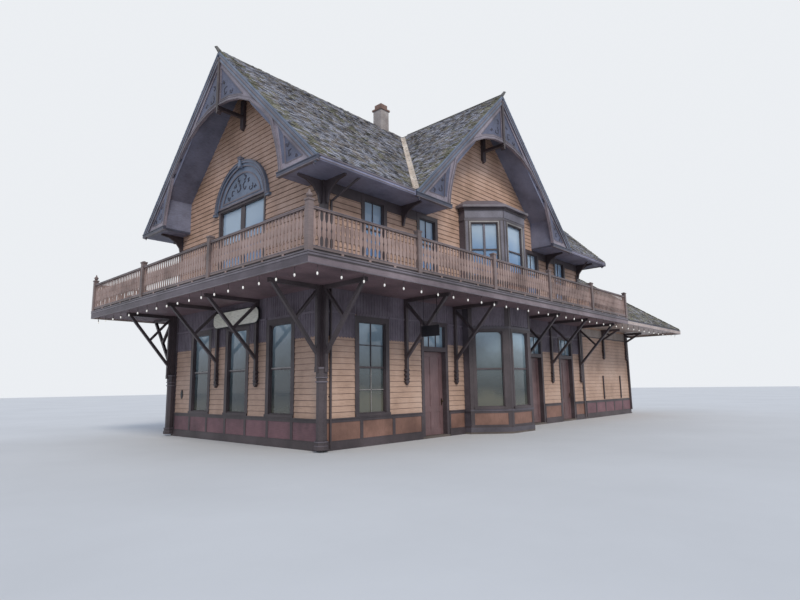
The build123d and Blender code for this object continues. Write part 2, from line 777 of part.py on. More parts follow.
CAP_STONE = 520
with BuildPart() as chimney_cap:
    half = CAP_STONE / 2
    block((CHIMNEY_X - half, -half, CHIMNEY_TOP), (CHIMNEY_X + half, half, CHIMNEY_TOP + 70))
    half = CHIMNEY_SIZE / 2 - 40
    block((CHIMNEY_X - half, -half, CHIMNEY_TOP + 70), (CHIMNEY_X + half, half, POT_TOP))
    half = FLUE / 2
    block((CHIMNEY_X - half, -half, CHIMNEY_TOP), (CHIMNEY_X + half, half, POT_TOP), Mode.SUBTRACT)
chimney_cap.part.label = "chimney_cap"
export_step(chimney_cap.part, "parts/chimney_cap.step")

# Bargeboards: the arch is cut from a gable-shaped board, ending in two legs
ARCH_HALF = [
    (0, 10080),
    (60, 10080),
    (600, 10026),
    (1200, 9862),
    (1800, 9560),
    (2350, 9100),
    (2430, 9130),
    (2480, 8970),
    (2740, 8710),
    (2900, 8690),
    (2870, 8560),
    (2950, 8300),
    (3060, 8000),
    (3160, 7700),
    (3240, 7400),
    (3290, 7100),
    (3300, EAVE_BOTTOM),
]


CUSPS = [(2430, 9130), (2900, 8690)]
BARGE_OUTER = [(0, PEAK), (EAVE_RUN, PEAK - EAVE_RUN), (EAVE_RUN, EAVE_BOTTOM)]
KING_WIDTH = 110
VERGE_BAND = 150
VERGE_PROUD = 30
ARCH_BAND = 110
ARCH_PROUD = 22
PANEL_SUNK = 15
CROWN_PANEL = [(130, 10250), (600, 10210), (1150, 10050), (1400, 9950), (130, 11290)]
LEG_PANEL = [(3560, 7180), (4260, 7180), (3470, 7960), (3530, 7500)]


def mirrored(points, sign):
    return [(sign * u, z) for u, z in points]


def barge_outline():
    """Gable-shaped board with the arch cut out of it."""
    right = ARCH_HALF[1:] + BARGE_OUTER[:0:-1]
    left = mirrored(right, -1)
    Polygon(*([ARCH_HALF[0]] + right + [(0, PEAK)] + left[::-1]), align=None)


def verge_band(sign):
    """Moulding under the roof's sloping edge, of even width."""
    foot = EAVE_RUN - VERGE_BAND
    points = [
        (KING_WIDTH / 2, PEAK - KING_WIDTH / 2),
        (EAVE_RUN, PEAK - EAVE_RUN),
        (foot, PEAK - EAVE_RUN - VERGE_BAND * (2**0.5 - 1)),
        (KING_WIDTH / 2, PEAK - KING_WIDTH / 2 - VERGE_BAND * 2**0.5),
    ]
    Polygon(*mirrored(points, sign), align=None)


def arch_band(sign):
    """Moulding along the arch, leaving out its two cusps."""
    edge = [Vector(u, z) for u, z in ARCH_HALF[1:] if (u, z) not in CUSPS]
    outer = []
    for i, point in enumerate(edge):
        before, after = edge[max(i - 1, 0)], edge[min(i + 1, len(edge) - 1)]
        along = (after - before).normalized()
        outer.append(point + Vector(-along.Y, along.X) * ARCH_BAND)
    outer[-1] = Vector(outer[-1].X, EAVE_BOTTOM)
    points = [(p.X, p.Y) for p in edge + outer[::-1]]
    Polygon(*mirrored(points, sign), align=None)


with BuildPart() as bargeboards:
    for plane in GABLES:
        with BuildSketch(plane.offset(BARGE_REACH - BARGE_THICK)) as board:
            barge_outline()
        extrude(board.sketch, amount=BARGE_THICK)
        face = plane.offset(BARGE_REACH)
        for draw, proud in ((verge_band, VERGE_PROUD), (arch_band, ARCH_PROUD)):
            with BuildSketch(face) as band:
                for sign in (-1, 1):
                    draw(sign)
            extrude(band.sketch, amount=proud)
        with BuildSketch(face) as panels:
            for sign in (-1, 1):
                Polygon(*mirrored(CROWN_PANEL, sign), align=None)
                Polygon(*mirrored(LEG_PANEL, sign), align=None)
        extrude(panels.sketch, amount=-PANEL_SUNK, mode=Mode.SUBTRACT)
bargeboards.part.label = "bargeboards"
export_step(bargeboards.part, "parts/bargeboards.step")

# King posts: pendant and face plate on each bargeboard, tied back to a wall post
PENDANT_TIP = 9830
WALL_POST_TIP = 9580
WALL_POST_TOP = 10600
WALL_POST = 190
WALL_POINT = 110
TIE = 100
KING_PROUD = 45
COLLAR = 26
COLLAR_LOW = 9985
with BuildPart() as king_posts:
    for plane in GABLES:
        crown = ARCH_HALF[0][1]
        reach = BARGE_REACH + KING_PROUD
        with BuildSketch(plane):
            Polygon(
                (0, WALL_POST_TIP),
                (WALL_POST / 2, WALL_POST_TIP + WALL_POINT),
                (WALL_POST / 2, WALL_POST_TOP),
                (-WALL_POST / 2, WALL_POST_TOP),
                (-WALL_POST / 2, WALL_POST_TIP + WALL_POINT),
                align=None,
            )
        extrude(amount=KING_WIDTH)
        with BuildSketch(plane):
            with Locations((0, crown - TIE / 2)):
                Rectangle(KING_WIDTH, TIE)
        extrude(amount=reach)
        with BuildSketch(plane.offset(BARGE_REACH - BARGE_THICK - KING_PROUD)):
            Polygon(
                (KING_WIDTH / 2, crown),
                (-KING_WIDTH / 2, crown),
                (-KING_WIDTH / 2, COLLAR_LOW),
                (-KING_WIDTH / 4, COLLAR_LOW - COLLAR),
                (-KING_WIDTH / 2, COLLAR_LOW - 3 * COLLAR),
                (0, PENDANT_TIP),
                (KING_WIDTH / 2, COLLAR_LOW - 3 * COLLAR),
                (KING_WIDTH / 4, COLLAR_LOW - COLLAR),
                (KING_WIDTH / 2, COLLAR_LOW),
                align=None,
            )
        extrude(amount=BARGE_THICK + 2 * KING_PROUD)
        with BuildSketch(plane.offset(BARGE_REACH)):
            with Locations((0, (crown + PEAK - KING_WIDTH) / 2 - TIE / 2)):
                Rectangle(KING_WIDTH, PEAK - KING_WIDTH - crown + TIE)
        extrude(amount=KING_PROUD)
king_posts.part.label = "king_posts"
export_step(king_posts.part, "parts/king_posts.step")

# Sloping soffits under the gable overhangs
SOFFIT_DEPTH = 50
with BuildPart() as gable_soffits:
    for plane in GABLES:
        low = GABLE_SOFFIT - RETURN_INSET
        with BuildSketch(plane):
            Polygon(
                (0, GABLE_SOFFIT),
                (RETURN_INSET, low),
                (RETURN_INSET, low + SOFFIT_DEPTH),
                (0, GABLE_SOFFIT + SOFFIT_DEPTH),
                (-RETURN_INSET, low + SOFFIT_DEPTH),
                (-RETURN_INSET, low),
                align=None,
            )
        extrude(amount=BARGE_REACH - BARGE_THICK)
gable_soffits.part.label = "gable_soffits"
export_step(gable_soffits.part, "parts/gable_soffits.step")

# Boxed eaves with a return beside every gable
BARGE_BACK_X = HALF_LENGTH + BARGE_REACH - BARGE_THICK
BARGE_BACK_Y = HALF_WIDTH + BARGE_REACH - BARGE_THICK
RETURN_TOP = GABLE_SOFFIT - RETURN_INSET + SOFFIT_DEPTH
SOFFIT_TOP = EAVE_BOTTOM + SOFFIT_THICK


def eave_box(sign_x, sign_y):
    """Soffit, outer board and two return boards at one corner of the main block."""
    with BuildPart() as box:
        for low, high in (
            ((RETURN_INSET, HALF_WIDTH, EAVE_BOTTOM), (EAVE_RUN, BARGE_BACK_Y, SOFFIT_TOP)),
            ((EAVE_RUN, HALF_WIDTH, EAVE_BOTTOM), (BARGE_BACK_X, SLOPE_END, SOFFIT_TOP)),
            ((HALF_LENGTH, RETURN_INSET, EAVE_BOTTOM), (BARGE_BACK_X, HALF_WIDTH, SOFFIT_TOP)),
            ((EAVE_RUN, SLOPE_END, EAVE_BOTTOM), (BARGE_BACK_X, EAVE_RUN, EAVE_TOP)),
            (
                (HALF_LENGTH, RETURN_INSET, EAVE_BOTTOM),
                (BARGE_BACK_X, RETURN_INSET + EAVE_BOARD, RETURN_TOP),
            ),
            (
                (RETURN_INSET, HALF_WIDTH, EAVE_BOTTOM),
                (RETURN_INSET + EAVE_BOARD, BARGE_BACK_Y, RETURN_TOP),
            ),
        ):
            ends = [sorted((s * a, s * b)) for s, a, b in zip((sign_x, sign_y, 1), low, high)]
            block([end[0] for end in ends], [end[1] for end in ends])
        with BuildSketch(Plane.YZ):
            Polygon(
                (0, PEAK),
                (sign_y * SLOPE_END, PEAK - SLOPE_END),
                (sign_y * SLOPE_END, RIDGE),
                (0, RIDGE),
                align=None,
            )
        extrude(amount=MITRE, both=True, mode=Mode.SUBTRACT)
    return box.part


eave_parts = [eave_box(a, b) for a in (-1, 1) for b in (-1, 1)]
with BuildPart() as boxed_eaves:
    for piece in eave_parts:
        add(piece)
boxed_eaves.part.label = "boxed_eaves"
export_step(boxed_eaves.part, "parts/boxed_eaves.step")

# Freight room: three plain walls under a hipped roof
FREIGHT_EAVE_X = FREIGHT_END + BALCONY_REACH
FREIGHT_EAVE_Y = HALF_WIDTH + BALCONY_REACH
FREIGHT_FASCIA_TOP = 4150
FREIGHT_SOFFIT = 4100
FREIGHT_SOFFIT_TOP = 4125
FREIGHT_EDGE = 50
FREIGHT_ROOF_DEPTH = 150
with BuildPart() as freight_walls:
    block(
        (HALF_LENGTH, -HALF_WIDTH, FLOOR_TOP),
        (FREIGHT_END, HALF_WIDTH, FREIGHT_SOFFIT_TOP),
    )
    block(
        (HALF_LENGTH, -HALF_WIDTH + WALL, FLOOR_TOP),
        (FREIGHT_END - WALL, HALF_WIDTH - WALL, FREIGHT_SOFFIT_TOP),
        Mode.SUBTRACT,
    )
freight_walls.part.label = "freight_walls"
export_step(freight_walls.part, "parts/freight_walls.step")


def hip_solid(drop):
    """Hipped roof body: two wedges crossed, lowered by the given drop."""
    rise = FREIGHT_EAVE_Y * FREIGHT_PITCH
    base = FREIGHT_FASCIA_TOP + FREIGHT_EDGE - drop
    with BuildPart() as body:
        with BuildSketch(Plane.YZ.offset(HALF_LENGTH)):
            Polygon(
                (-FREIGHT_EAVE_Y, FREIGHT_FASCIA_TOP - drop),
                (FREIGHT_EAVE_Y, FREIGHT_FASCIA_TOP - drop),
                (FREIGHT_EAVE_Y, base),
                (0, base + rise),
                (-FREIGHT_EAVE_Y, base),
                align=None,
            )
        extrude(amount=FREIGHT_EAVE_X - HALF_LENGTH)
        back = FREIGHT_EAVE_X - HALF_LENGTH
        with BuildSketch(Plane.XZ):
            Polygon(
                (FREIGHT_EAVE_X, FREIGHT_FASCIA_TOP - drop),
                (FREIGHT_EAVE_X, base),
                (HALF_LENGTH, base + back * FREIGHT_PITCH),
                (HALF_LENGTH, FREIGHT_FASCIA_TOP - drop),
                align=None,
            )
        extrude(amount=MITRE, both=True, mode=Mode.INTERSECT)
    return body.part


with BuildPart() as freight_roof:
    add(hip_solid(0))
    add(hip_solid(FREIGHT_ROOF_DEPTH), mode=Mode.SUBTRACT)
freight_roof.part.label = "freight_roof"
export_step(freight_roof.part, "parts/freight_roof.step")

with BuildPart() as freight_eave:
    block(
        (HALF_LENGTH, -FREIGHT_EAVE_Y, FASCIA_BOTTOM),
        (FREIGHT_EAVE_X, FREIGHT_EAVE_Y, FREIGHT_FASCIA_TOP),
    )
    inner = FREIGHT_EAVE_Y - FASCIA_THICK
    for bottom, top in ((FASCIA_BOTTOM, FREIGHT_SOFFIT), (FREIGHT_SOFFIT_TOP, FREIGHT_FASCIA_TOP)):
        block(
            (HALF_LENGTH, -inner, bottom),
            (FREIGHT_EAVE_X - FASCIA_THICK, inner, top),
            Mode.SUBTRACT,
        )
    block(
        (HALF_LENGTH, -HALF_WIDTH, FASCIA_BOTTOM),
        (FREIGHT_END, HALF_WIDTH, FREIGHT_FASCIA_TOP),
        Mode.SUBTRACT,
    )
freight_eave.part.label = "freight_eave"
export_step(freight_eave.part, "parts/freight_eave.step")

# Windows: sash frame in the wall with one meeting rail, casing and sill on its face
MEETING = 50
GLASS_BACK = 70


def window(face, width, height, rails=(0.5,), mullions=(), casing=CASING_WIDTH):
    """Window unit on a wall face; rails and mullions as fractions of the height and width."""
    lap = SASH / 2
    with BuildPart() as unit:
        with BuildSketch(face):
            Rectangle(width, height)
            Rectangle(width - 2 * SASH, height - 2 * SASH, mode=Mode.SUBTRACT)
        extrude(amount=-SASH_DEPTH)
        bars = face.offset(-GLASS_BACK)
        with BuildSketch(bars):
            for part in rails:
                with Locations((0, height * (part - 0.5))):
                    Rectangle(width - 2 * SASH, MEETING)
            for part, thick in mullions:
                with Locations((width * (part - 0.5), 0)):
                    Rectangle(thick, height - 2 * SASH)
        extrude(amount=GLASS_BACK / 2)
        with BuildSketch(face):
            with Locations((0, casing / 2)):
                Rectangle(width + 2 * casing, height + casing)
            Rectangle(width - SASH, height - SASH, mode=Mode.SUBTRACT)
        extrude(amount=CASING_THICK)
        with BuildSketch(face):
            with Locations((0, (lap - SILL_HEIGHT - height) / 2)):
                Rectangle(width + 2 * casing, SILL_HEIGHT + lap)
        extrude(amount=SILL_REACH)
    return unit.part


def pane(face, width, height):
    """Sheet of glass behind the bars of a window."""
    with BuildPart() as sheet:
        with BuildSketch(face.offset(-GLASS_BACK)):
            Rectangle(width - 2 * SASH, height - 2 * SASH)
        extrude(amount=-GLASS_THICK)
    return sheet.part


LOWER_HEIGHT = WINDOW_HEAD - WINDOW_SILL
UPPER_HEIGHT = UPPER_HEAD - UPPER_SILL
ORIEL_HEIGHT = ORIEL_HEAD - ORIEL_SILL
BAY_CASING = 60
lower_units = [(f, WINDOW_WIDTH, LOWER_HEIGHT, CASING_WIDTH) for f in END_FACES + REAR_FACES]
lower_units.append((TRACK_FACE, WINDOW_WIDTH, LOWER_HEIGHT, CASING_WIDTH))
lower_units += [
    (f, w, LOWER_HEIGHT, BAY_CASING)
    for f, w in zip(bay_faces(WINDOW_SILL, WINDOW_HEAD), (BAY_WINDOW, CANT_WINDOW, CANT_WINDOW))
]
lower_frames = [window(f, w, h, casing=c) for f, w, h, c in lower_units]
with BuildPart() as lower_windows:
    for piece in lower_frames:
        add(piece)
lower_windows.part.label = "lower_windows"
export_step(lower_windows.part, "parts/lower_windows.step")

TRANSOM_LOW = DOOR_HEAD + TRANSOM_BAR


def transom_pane(x):
    """Glass over a door, in the middle of the frame's depth."""
    half = DOOR_GAP / 2 - JAMB
    y = -HALF_WIDTH + SASH_DEPTH
    with BuildPart() as sheet:
        block((x - half, y, TRANSOM_LOW), (x + half, y + GLASS_THICK, TRANSOM_HEAD))
    return sheet.part


lower_panes = [pane(f, w, h) for f, w, h, c in lower_units] + [transom_pane(x) for x in DOORS]
with BuildPart() as lower_glass:
    for piece in lower_panes:
        add(piece)
lower_glass.part.label = "lower_glass"
export_step(lower_glass.part, "parts/lower_glass.step")

UPPER_CASING = 105
upper_units = [
    (f, UPPER_WIDTH, UPPER_HEIGHT, UPPER_CASING)
    for f in UPPER_TRACK_FACES + UPPER_REAR_FACES + [REAR_PAIR_FACE]
]
upper_units += [
    (f, w, ORIEL_HEIGHT, BAY_CASING)
    for f, w in zip(bay_faces(ORIEL_SILL, ORIEL_HEAD), (BAY_WINDOW, CANT_WINDOW, CANT_WINDOW))
]
PAIR_HEIGHT = PAIR_HEAD - PAIR_SILL
PAIR_MULLION = 220
PAIR_CASING = 60
upper_frames = [window(f, w, h, casing=c) for f, w, h, c in upper_units]
upper_frames.append(
    window(PAIR_FACE, PAIR_WIDTH, PAIR_HEIGHT, mullions=[(0.5, PAIR_MULLION)], casing=PAIR_CASING)
)
with BuildPart() as upper_windows:
    for piece in upper_frames:
        add(piece)
upper_windows.part.label = "upper_windows"
export_step(upper_windows.part, "parts/upper_windows.step")

upper_panes = [pane(f, w, h) for f, w, h, c in upper_units]
upper_panes.append(pane(PAIR_FACE, PAIR_WIDTH, PAIR_HEIGHT))
with BuildPart() as upper_glass:
    for piece in upper_panes:
        add(piece)
upper_glass.part.label = "upper_glass"
export_step(upper_glass.part, "parts/upper_glass.step")

# Arched hood over the paired window: two rings, a keystone, label stops and a sunk panel
HOOD_CENTRE = 7060
HOOD_RADIUS = 1510
OUTER_RING = 110
OUTER_PROUD = 110
INNER_RING = 210
INNER_PROUD = 75
TYMPANUM = 40
HEAD_PANEL = 1100
HEAD_PANEL_LOW = 7400
HEAD_PANEL_SUNK = 15
HOOD_FOOT = PAIR_HEAD + PAIR_CASING
STOP_LOW = 7080
STOP_TOP = 7160
STOP_REACH = 80
KEY_WIDTH = 190
KEY_HEIGHT = 380
KEY_TOP = 8700
KEY_REACH = 150


def arch_part(plane, radius, low, hollow=0):
    """Disc or ring about the hood's centre, cut off level below a height."""
    with BuildSketch(plane) as arch:
        with Locations((0, HOOD_CENTRE)):
            Circle(radius)
            if hollow:
                Circle(hollow, mode=Mode.SUBTRACT)
        with Locations((0, low - HOOD_RADIUS)):
            Rectangle(3 * HOOD_RADIUS, 2 * HOOD_RADIUS, mode=Mode.SUBTRACT)
    return arch.sketch


with BuildPart() as gable_hood:
    ring = arch_part(NEAR_GABLE, HOOD_RADIUS, STOP_TOP, HOOD_RADIUS - OUTER_RING)
    extrude(ring, amount=OUTER_PROUD)
    ring = arch_part(NEAR_GABLE, HOOD_RADIUS - OUTER_RING / 2, HOOD_FOOT, HOOD_RADIUS - INNER_RING)
    extrude(ring, amount=INNER_PROUD)
    extrude(arch_part(NEAR_GABLE, HOOD_RADIUS - OUTER_RING / 2, HOOD_FOOT), amount=TYMPANUM)
    panel = arch_part(NEAR_GABLE.offset(TYMPANUM), HEAD_PANEL, HEAD_PANEL_LOW)
    extrude(panel, amount=-HEAD_PANEL_SUNK, mode=Mode.SUBTRACT)
    with BuildSketch(NEAR_GABLE) as stops:
        for sign in (-1, 1):
            with Locations((sign * (HOOD_RADIUS + STOP_REACH / 2 - OUTER_RING / 2), (STOP_LOW + STOP_TOP) / 2)):
                Rectangle(OUTER_RING + STOP_REACH, STOP_TOP - STOP_LOW)
    extrude(stops.sketch, amount=OUTER_PROUD)
    with BuildSketch(NEAR_GABLE) as key:
        with Locations((0, KEY_TOP - KEY_HEIGHT / 2)):
            Trapezoid(KEY_WIDTH, KEY_HEIGHT, 100, rotation=180)
    extrude(key.sketch, amount=KEY_REACH)
gable_hood.part.label = "gable_hood"
export_step(gable_hood.part, "parts/gable_hood.step")

# Butt hinges: three to a door, on the room side
HINGE_HEIGHTS = (300, 1315, 2330)
HINGE_SIDES = (-1, 1, -1)
PIN_RADIUS = 6
KNUCKLE_RADIUS = 12
KNUCKLE = 60
FRAME_KNUCKLE = 25
RUNNING = 0.3
HINGE_FACETS = 8
PLATE = 45
PLATE_THICK = 6
PIN_Y = -HALF_WIDTH + WALL + KNUCKLE_RADIUS + 1
LEAF_BACK = -HALF_WIDTH + LEAF_DEPTH + LEAF_THICK


def pin_x(x, side):
    """Hinge pin in the middle of the gap between leaf and jamb."""
    return x + side * (DOOR_GAP / 2 - JAMB - LEAF_CLEAR / 2)


def hinge_prism(px, middle, radius, length, inner=False, mode=Mode.ADD):
    """Round bar of a hinge drawn with few sides; an inner one has its flats at the radius."""
    with BuildSketch(Plane.XY.offset(middle - length / 2)) as section:
        with Locations((px, PIN_Y)):
            RegularPolygon(radius, HINGE_FACETS, major_radius=not inner)
    extrude(section.sketch, amount=length, mode=mode)


def frame_hinges(x, side):
    """Pins with the knuckles above and below, plated to the jamb."""
    px = pin_x(x, side)
    back = -HALF_WIDTH + WALL
    half = FRAME_KNUCKLE / 2
    near, far = sorted((px, px + side * PLATE))
    for z in HINGE_HEIGHTS:
        hinge_prism(px, z, PIN_RADIUS, KNUCKLE + 2 * FRAME_KNUCKLE)
        for sign in (-1, 1):
            middle = z + sign * (KNUCKLE / 2 + RUNNING + half)
            hinge_prism(px, middle, KNUCKLE_RADIUS, FRAME_KNUCKLE)
            block((near, back, middle - half), (far, back + PLATE_THICK, middle + half))


def leaf_hinges(x, side):
    """Middle knuckles, plated to the room face of the leaf and bored for the pins."""
    px = pin_x(x, side)
    near, far = sorted((px, px - side * PLATE))
    top = PIN_Y - PIN_RADIUS - RUNNING
    for z in HINGE_HEIGHTS:
        block((near, LEAF_BACK, z - KNUCKLE / 2), (far, top, z + KNUCKLE / 2))
        hinge_prism(px, z, KNUCKLE_RADIUS, KNUCKLE)
        hinge_prism(px, z, PIN_RADIUS + RUNNING, KNUCKLE, inner=True, mode=Mode.SUBTRACT)


# Door frames with a transom bar, casings on the wall face
def door_frame(x, side):
    """Jambs, head and transom bar through the wall, with a casing round them."""
    half = DOOR_GAP / 2
    clear = half - JAMB
    with BuildPart() as frame:
        block((x - half, -HALF_WIDTH, FLOOR_TOP), (x + half, -HALF_WIDTH + WALL, LINTEL))
        block(
            (x - half - CASING_WIDTH + JAMB, -HALF_WIDTH - CASING_THICK, FLOOR_TOP),
            (x + half + CASING_WIDTH - JAMB, -HALF_WIDTH, LINTEL + CASING_WIDTH - JAMB),
        )
        deep = (-HALF_WIDTH - CASING_THICK, -HALF_WIDTH + WALL)
        for bottom, top in ((FLOOR_TOP, DOOR_HEAD), (TRANSOM_LOW, TRANSOM_HEAD)):
            block((x - clear, deep[0], bottom), (x + clear, deep[1], top), Mode.SUBTRACT)
        frame_hinges(x, side)
    return frame.part


frame_parts = [door_frame(x, side) for x, side in zip(DOORS, HINGE_SIDES)]
with BuildPart() as door_frames:
    for piece in frame_parts:
        add(piece)
door_frames.part.label = "door_frames"
export_step(door_frames.part, "parts/door_frames.step")

# Doors: one leaf each, stiles and rails round two sunk panels
STILE = 130
SUNK = 15
LOCK_RAIL = 900
BOTTOM_RAIL = 230
LEAF_FRONT = -HALF_WIDTH + LEAF_DEPTH


def door_leaf(x, side):
    """Leaf standing in its frame, with panels sunk on both faces."""
    half = DOOR_GAP / 2 - JAMB - LEAF_CLEAR
    bottom = FLOOR_TOP + LEAF_CLEAR
    top = DOOR_HEAD - LEAF_CLEAR
    with BuildPart() as leaf:
        block((x - half, LEAF_FRONT, bottom), (x + half, LEAF_FRONT + LEAF_THICK, top))
        for low, high in ((BOTTOM_RAIL, LOCK_RAIL - STILE), (LOCK_RAIL, top - STILE)):
            for front in (LEAF_FRONT, LEAF_FRONT + LEAF_THICK - SUNK):
                block(
                    (x - half + STILE, front, low),
                    (x + half - STILE, front + SUNK, high),
                    Mode.SUBTRACT,
                )
        leaf_hinges(x, side)
    return leaf.part


door_near = door_leaf(DOORS[0], HINGE_SIDES[0])
door_near.label = "door_near"
export_step(door_near, "parts/door_near.step")

door_middle = door_leaf(DOORS[1], HINGE_SIDES[1])
door_middle.label = "door_middle"
export_step(door_middle, "parts/door_middle.step")

door_far = door_leaf(DOORS[2], HINGE_SIDES[2])
door_far.label = "door_far"
export_step(door_far, "parts/door_far.step")

# Wainscot boards round the foot of the walls, between the openings
WAINSCOT_TOP = WINDOW_SILL - SILL_HEIGHT
CASING_OUT = DOOR_GAP / 2 + CASING_WIDTH - JAMB
COLUMN_HALF = COLUMN_WIDTH / 2
WAINSCOT_SPANS = [
    (-HALF_LENGTH - COLUMN_OFFSET + COLUMN_HALF, -DOOR_X - CASING_OUT),
    (-DOOR_X + CASING_OUT, -BAY_HALF),
    (BAY_HALF, DOOR_X - CASING_OUT),
    (DOOR_X + CASING_OUT, SIDE_X - CASING_OUT),
    (SIDE_X + CASING_OUT, FREIGHT_END + TRIM_THICK),
]
REAR_SPAN = [(-HALF_LENGTH - COLUMN_OFFSET + COLUMN_HALF, FREIGHT_END + TRIM_THICK)]
with BuildPart() as wainscot:
    for start, end in WAINSCOT_SPANS:
        block((start, -HALF_WIDTH - TRIM_THICK, FLOOR_TOP), (end, -HALF_WIDTH, WAINSCOT_TOP))
    for start, end in REAR_SPAN:
        block((start, HALF_WIDTH, FLOOR_TOP), (end, HALF_WIDTH + TRIM_THICK, WAINSCOT_TOP))
    half = HALF_WIDTH + COLUMN_OFFSET - COLUMN_HALF
    block((-HALF_LENGTH - TRIM_THICK, -half, FLOOR_TOP), (-HALF_LENGTH, half, WAINSCOT_TOP))
    block(
        (FREIGHT_END, -HALF_WIDTH, FLOOR_TOP),
        (FREIGHT_END + TRIM_THICK, HALF_WIDTH, WAINSCOT_TOP),
    )
wainscot.part.label = "wainscot"
export_step(wainscot.part, "parts/wainscot.step")

# Upper trim: corner boards and a frieze board under the eaves
CORNER_BOARD = 150
FRIEZE_LOW = 6580
FREIGHT_FOOT = FREIGHT_FASCIA_TOP + FREIGHT_EDGE + FREIGHT_PITCH * (BALCONY_REACH + CORNER_BOARD)
with BuildPart() as upper_trim:
    for sign in (-1, 1):
        y = sorted((sign * HALF_WIDTH, sign * (HALF_WIDTH + TRIM_THICK)))
        for side in (-1, 1):
            x = sorted((side * HALF_LENGTH, side * (HALF_LENGTH + TRIM_THICK)))
            wide = sorted((side * (HALF_LENGTH + TRIM_THICK), side * (HALF_LENGTH - CORNER_BOARD)))
            deep = sorted((sign * (HALF_WIDTH + TRIM_THICK), sign * (HALF_WIDTH - CORNER_BOARD)))
            foot = DECK_TOP if side < 0 else FREIGHT_FOOT
            block((wide[0], y[0], foot), (wide[1], y[1], EAVE_BOTTOM))
            block((x[0], deep[0], foot), (x[1], deep[1], EAVE_BOTTOM))
            run = sorted((side * (HALF_LENGTH - CORNER_BOARD), side * RETURN_INSET))
            block((run[0], y[0], FRIEZE_LOW), (run[1], y[1], EAVE_BOTTOM))
    half = UPPER_WIDTH / 2 + UPPER_CASING
    for x in UPPER_WINDOWS:
        block(
            (x - half, -HALF_WIDTH - TRIM_THICK, FRIEZE_LOW),
            (x + half, HALF_WIDTH + TRIM_THICK, UPPER_HEAD + UPPER_CASING),
            Mode.SUBTRACT,
        )
upper_trim.part.label = "upper_trim"
export_step(upper_trim.part, "parts/upper_trim.step")

# Curved braces under the boxed eaves, at the corners and between the upper windows
BRACE_REACH = 750
BRACE_DROP = 620
BRACE_BAR = 60
BRACE_THICK = 60
BRACE_STEPS = 4
BRACE_X = [-HALF_LENGTH + CORNER_BOARD / 2, -4470, 4470, HALF_LENGTH - CORNER_BOARD / 2]
BRACE_Y = HALF_WIDTH - CORNER_BOARD / 2


def brace(x, y, outward):
    """Spandrel with a hollow curved edge, from the trim on the wall to the soffit."""
    out = Vector(*outward, 0)
    side = Plane(origin=(x, y, EAVE_BOTTOM), x_dir=out, z_dir=out.cross(Vector(0, 0, 1)))
    curve = []
    for i in range(BRACE_STEPS + 1):
        turn = pi / 2 * i / BRACE_STEPS
        across = BRACE_REACH - (BRACE_REACH - BRACE_BAR) * cos(turn)
        down = BRACE_DROP - (BRACE_DROP - BRACE_BAR) * sin(turn)
        curve.append((across, -down))
    with BuildPart() as piece:
        with BuildSketch(side):
            Polygon((0, 0), (0, -BRACE_DROP), *curve, (BRACE_REACH, 0), align=None)
        extrude(amount=BRACE_THICK / 2, both=True)
    return piece.part


brace_parts = []
for sign in (-1, 1):
    for x in BRACE_X:
        brace_parts.append(brace(x, sign * (HALF_WIDTH + TRIM_THICK), (0, sign)))
    for y in (-BRACE_Y, BRACE_Y):
        brace_parts.append(brace(sign * (HALF_LENGTH + TRIM_THICK), y, (sign, 0)))
with BuildPart() as eave_braces:
    for piece in brace_parts:
        add(piece)
eave_braces.part.label = "eave_braces"
export_step(eave_braces.part, "parts/eave_braces.step")

# Downspouts: from each side eave back to the wall and down it, in two lengths past the deck
PIPE = 60
PIPE_FACETS = 8
SPOUT_X = 7250
SPOUT_EAVE = (6900, 4750)
SPOUT_OUTLET = 40
SPOUT_BEND = 6350
STRAPS = (1300, 2500, 3700, 4800, 5800)
STRAP = 90
STRAP_HEIGHT = 25


def pipe(start, end):
    """Straight length of pipe drawn with few sides."""
    run = Vector(*end) - Vector(*start)
    with BuildSketch(Plane(origin=start, z_dir=run)) as section:
        RegularPolygon(PIPE / 2, PIPE_FACETS, major_radius=False, rotation=22.5)
    extrude(section.sketch, amount=run.length)


def downspout(sign_x, sign_y):
    """Pipe of one corner, with straps to the wall."""
    x = sign_x * SPOUT_X
    y = sign_y * (HALF_WIDTH + TRIM_THICK + PIPE / 2)
    with BuildPart() as spout:
        outlet = (sign_x * SPOUT_EAVE[0], sign_y * SPOUT_EAVE[1], EAVE_BOTTOM + SPOUT_OUTLET)
        pipe(outlet, (x, y, SPOUT_BEND))
        block((-MITRE, -MITRE, EAVE_BOTTOM), (MITRE, MITRE, EAVE_TOP), Mode.SUBTRACT)
        pipe((x, y, DECK_TOP), (x, y, SPOUT_BEND + PIPE / 2))
        pipe((x, y, FLOOR_TOP), (x, y, DECK_UNDER))
        for z in STRAPS:
            deep = sorted((sign_y * HALF_WIDTH, y))
            half = STRAP / 2
            block((x - half, deep[0], z), (x + half, deep[1], z + STRAP_HEIGHT))
    return spout.part


spout_parts = [downspout(a, b) for a in (-1, 1) for b in (-1, 1)]
with BuildPart() as downspouts:
    for piece in spout_parts:
        add(piece)
downspouts.part.label = "downspouts"
export_step(downspouts.part, "parts/downspouts.step")
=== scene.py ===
"""Looks of the timber railway station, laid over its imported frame. Metres, +Z up, tracks on the -Y side."""
import math
import random

import bmesh
import bpy
from mathutils import Matrix, Vector


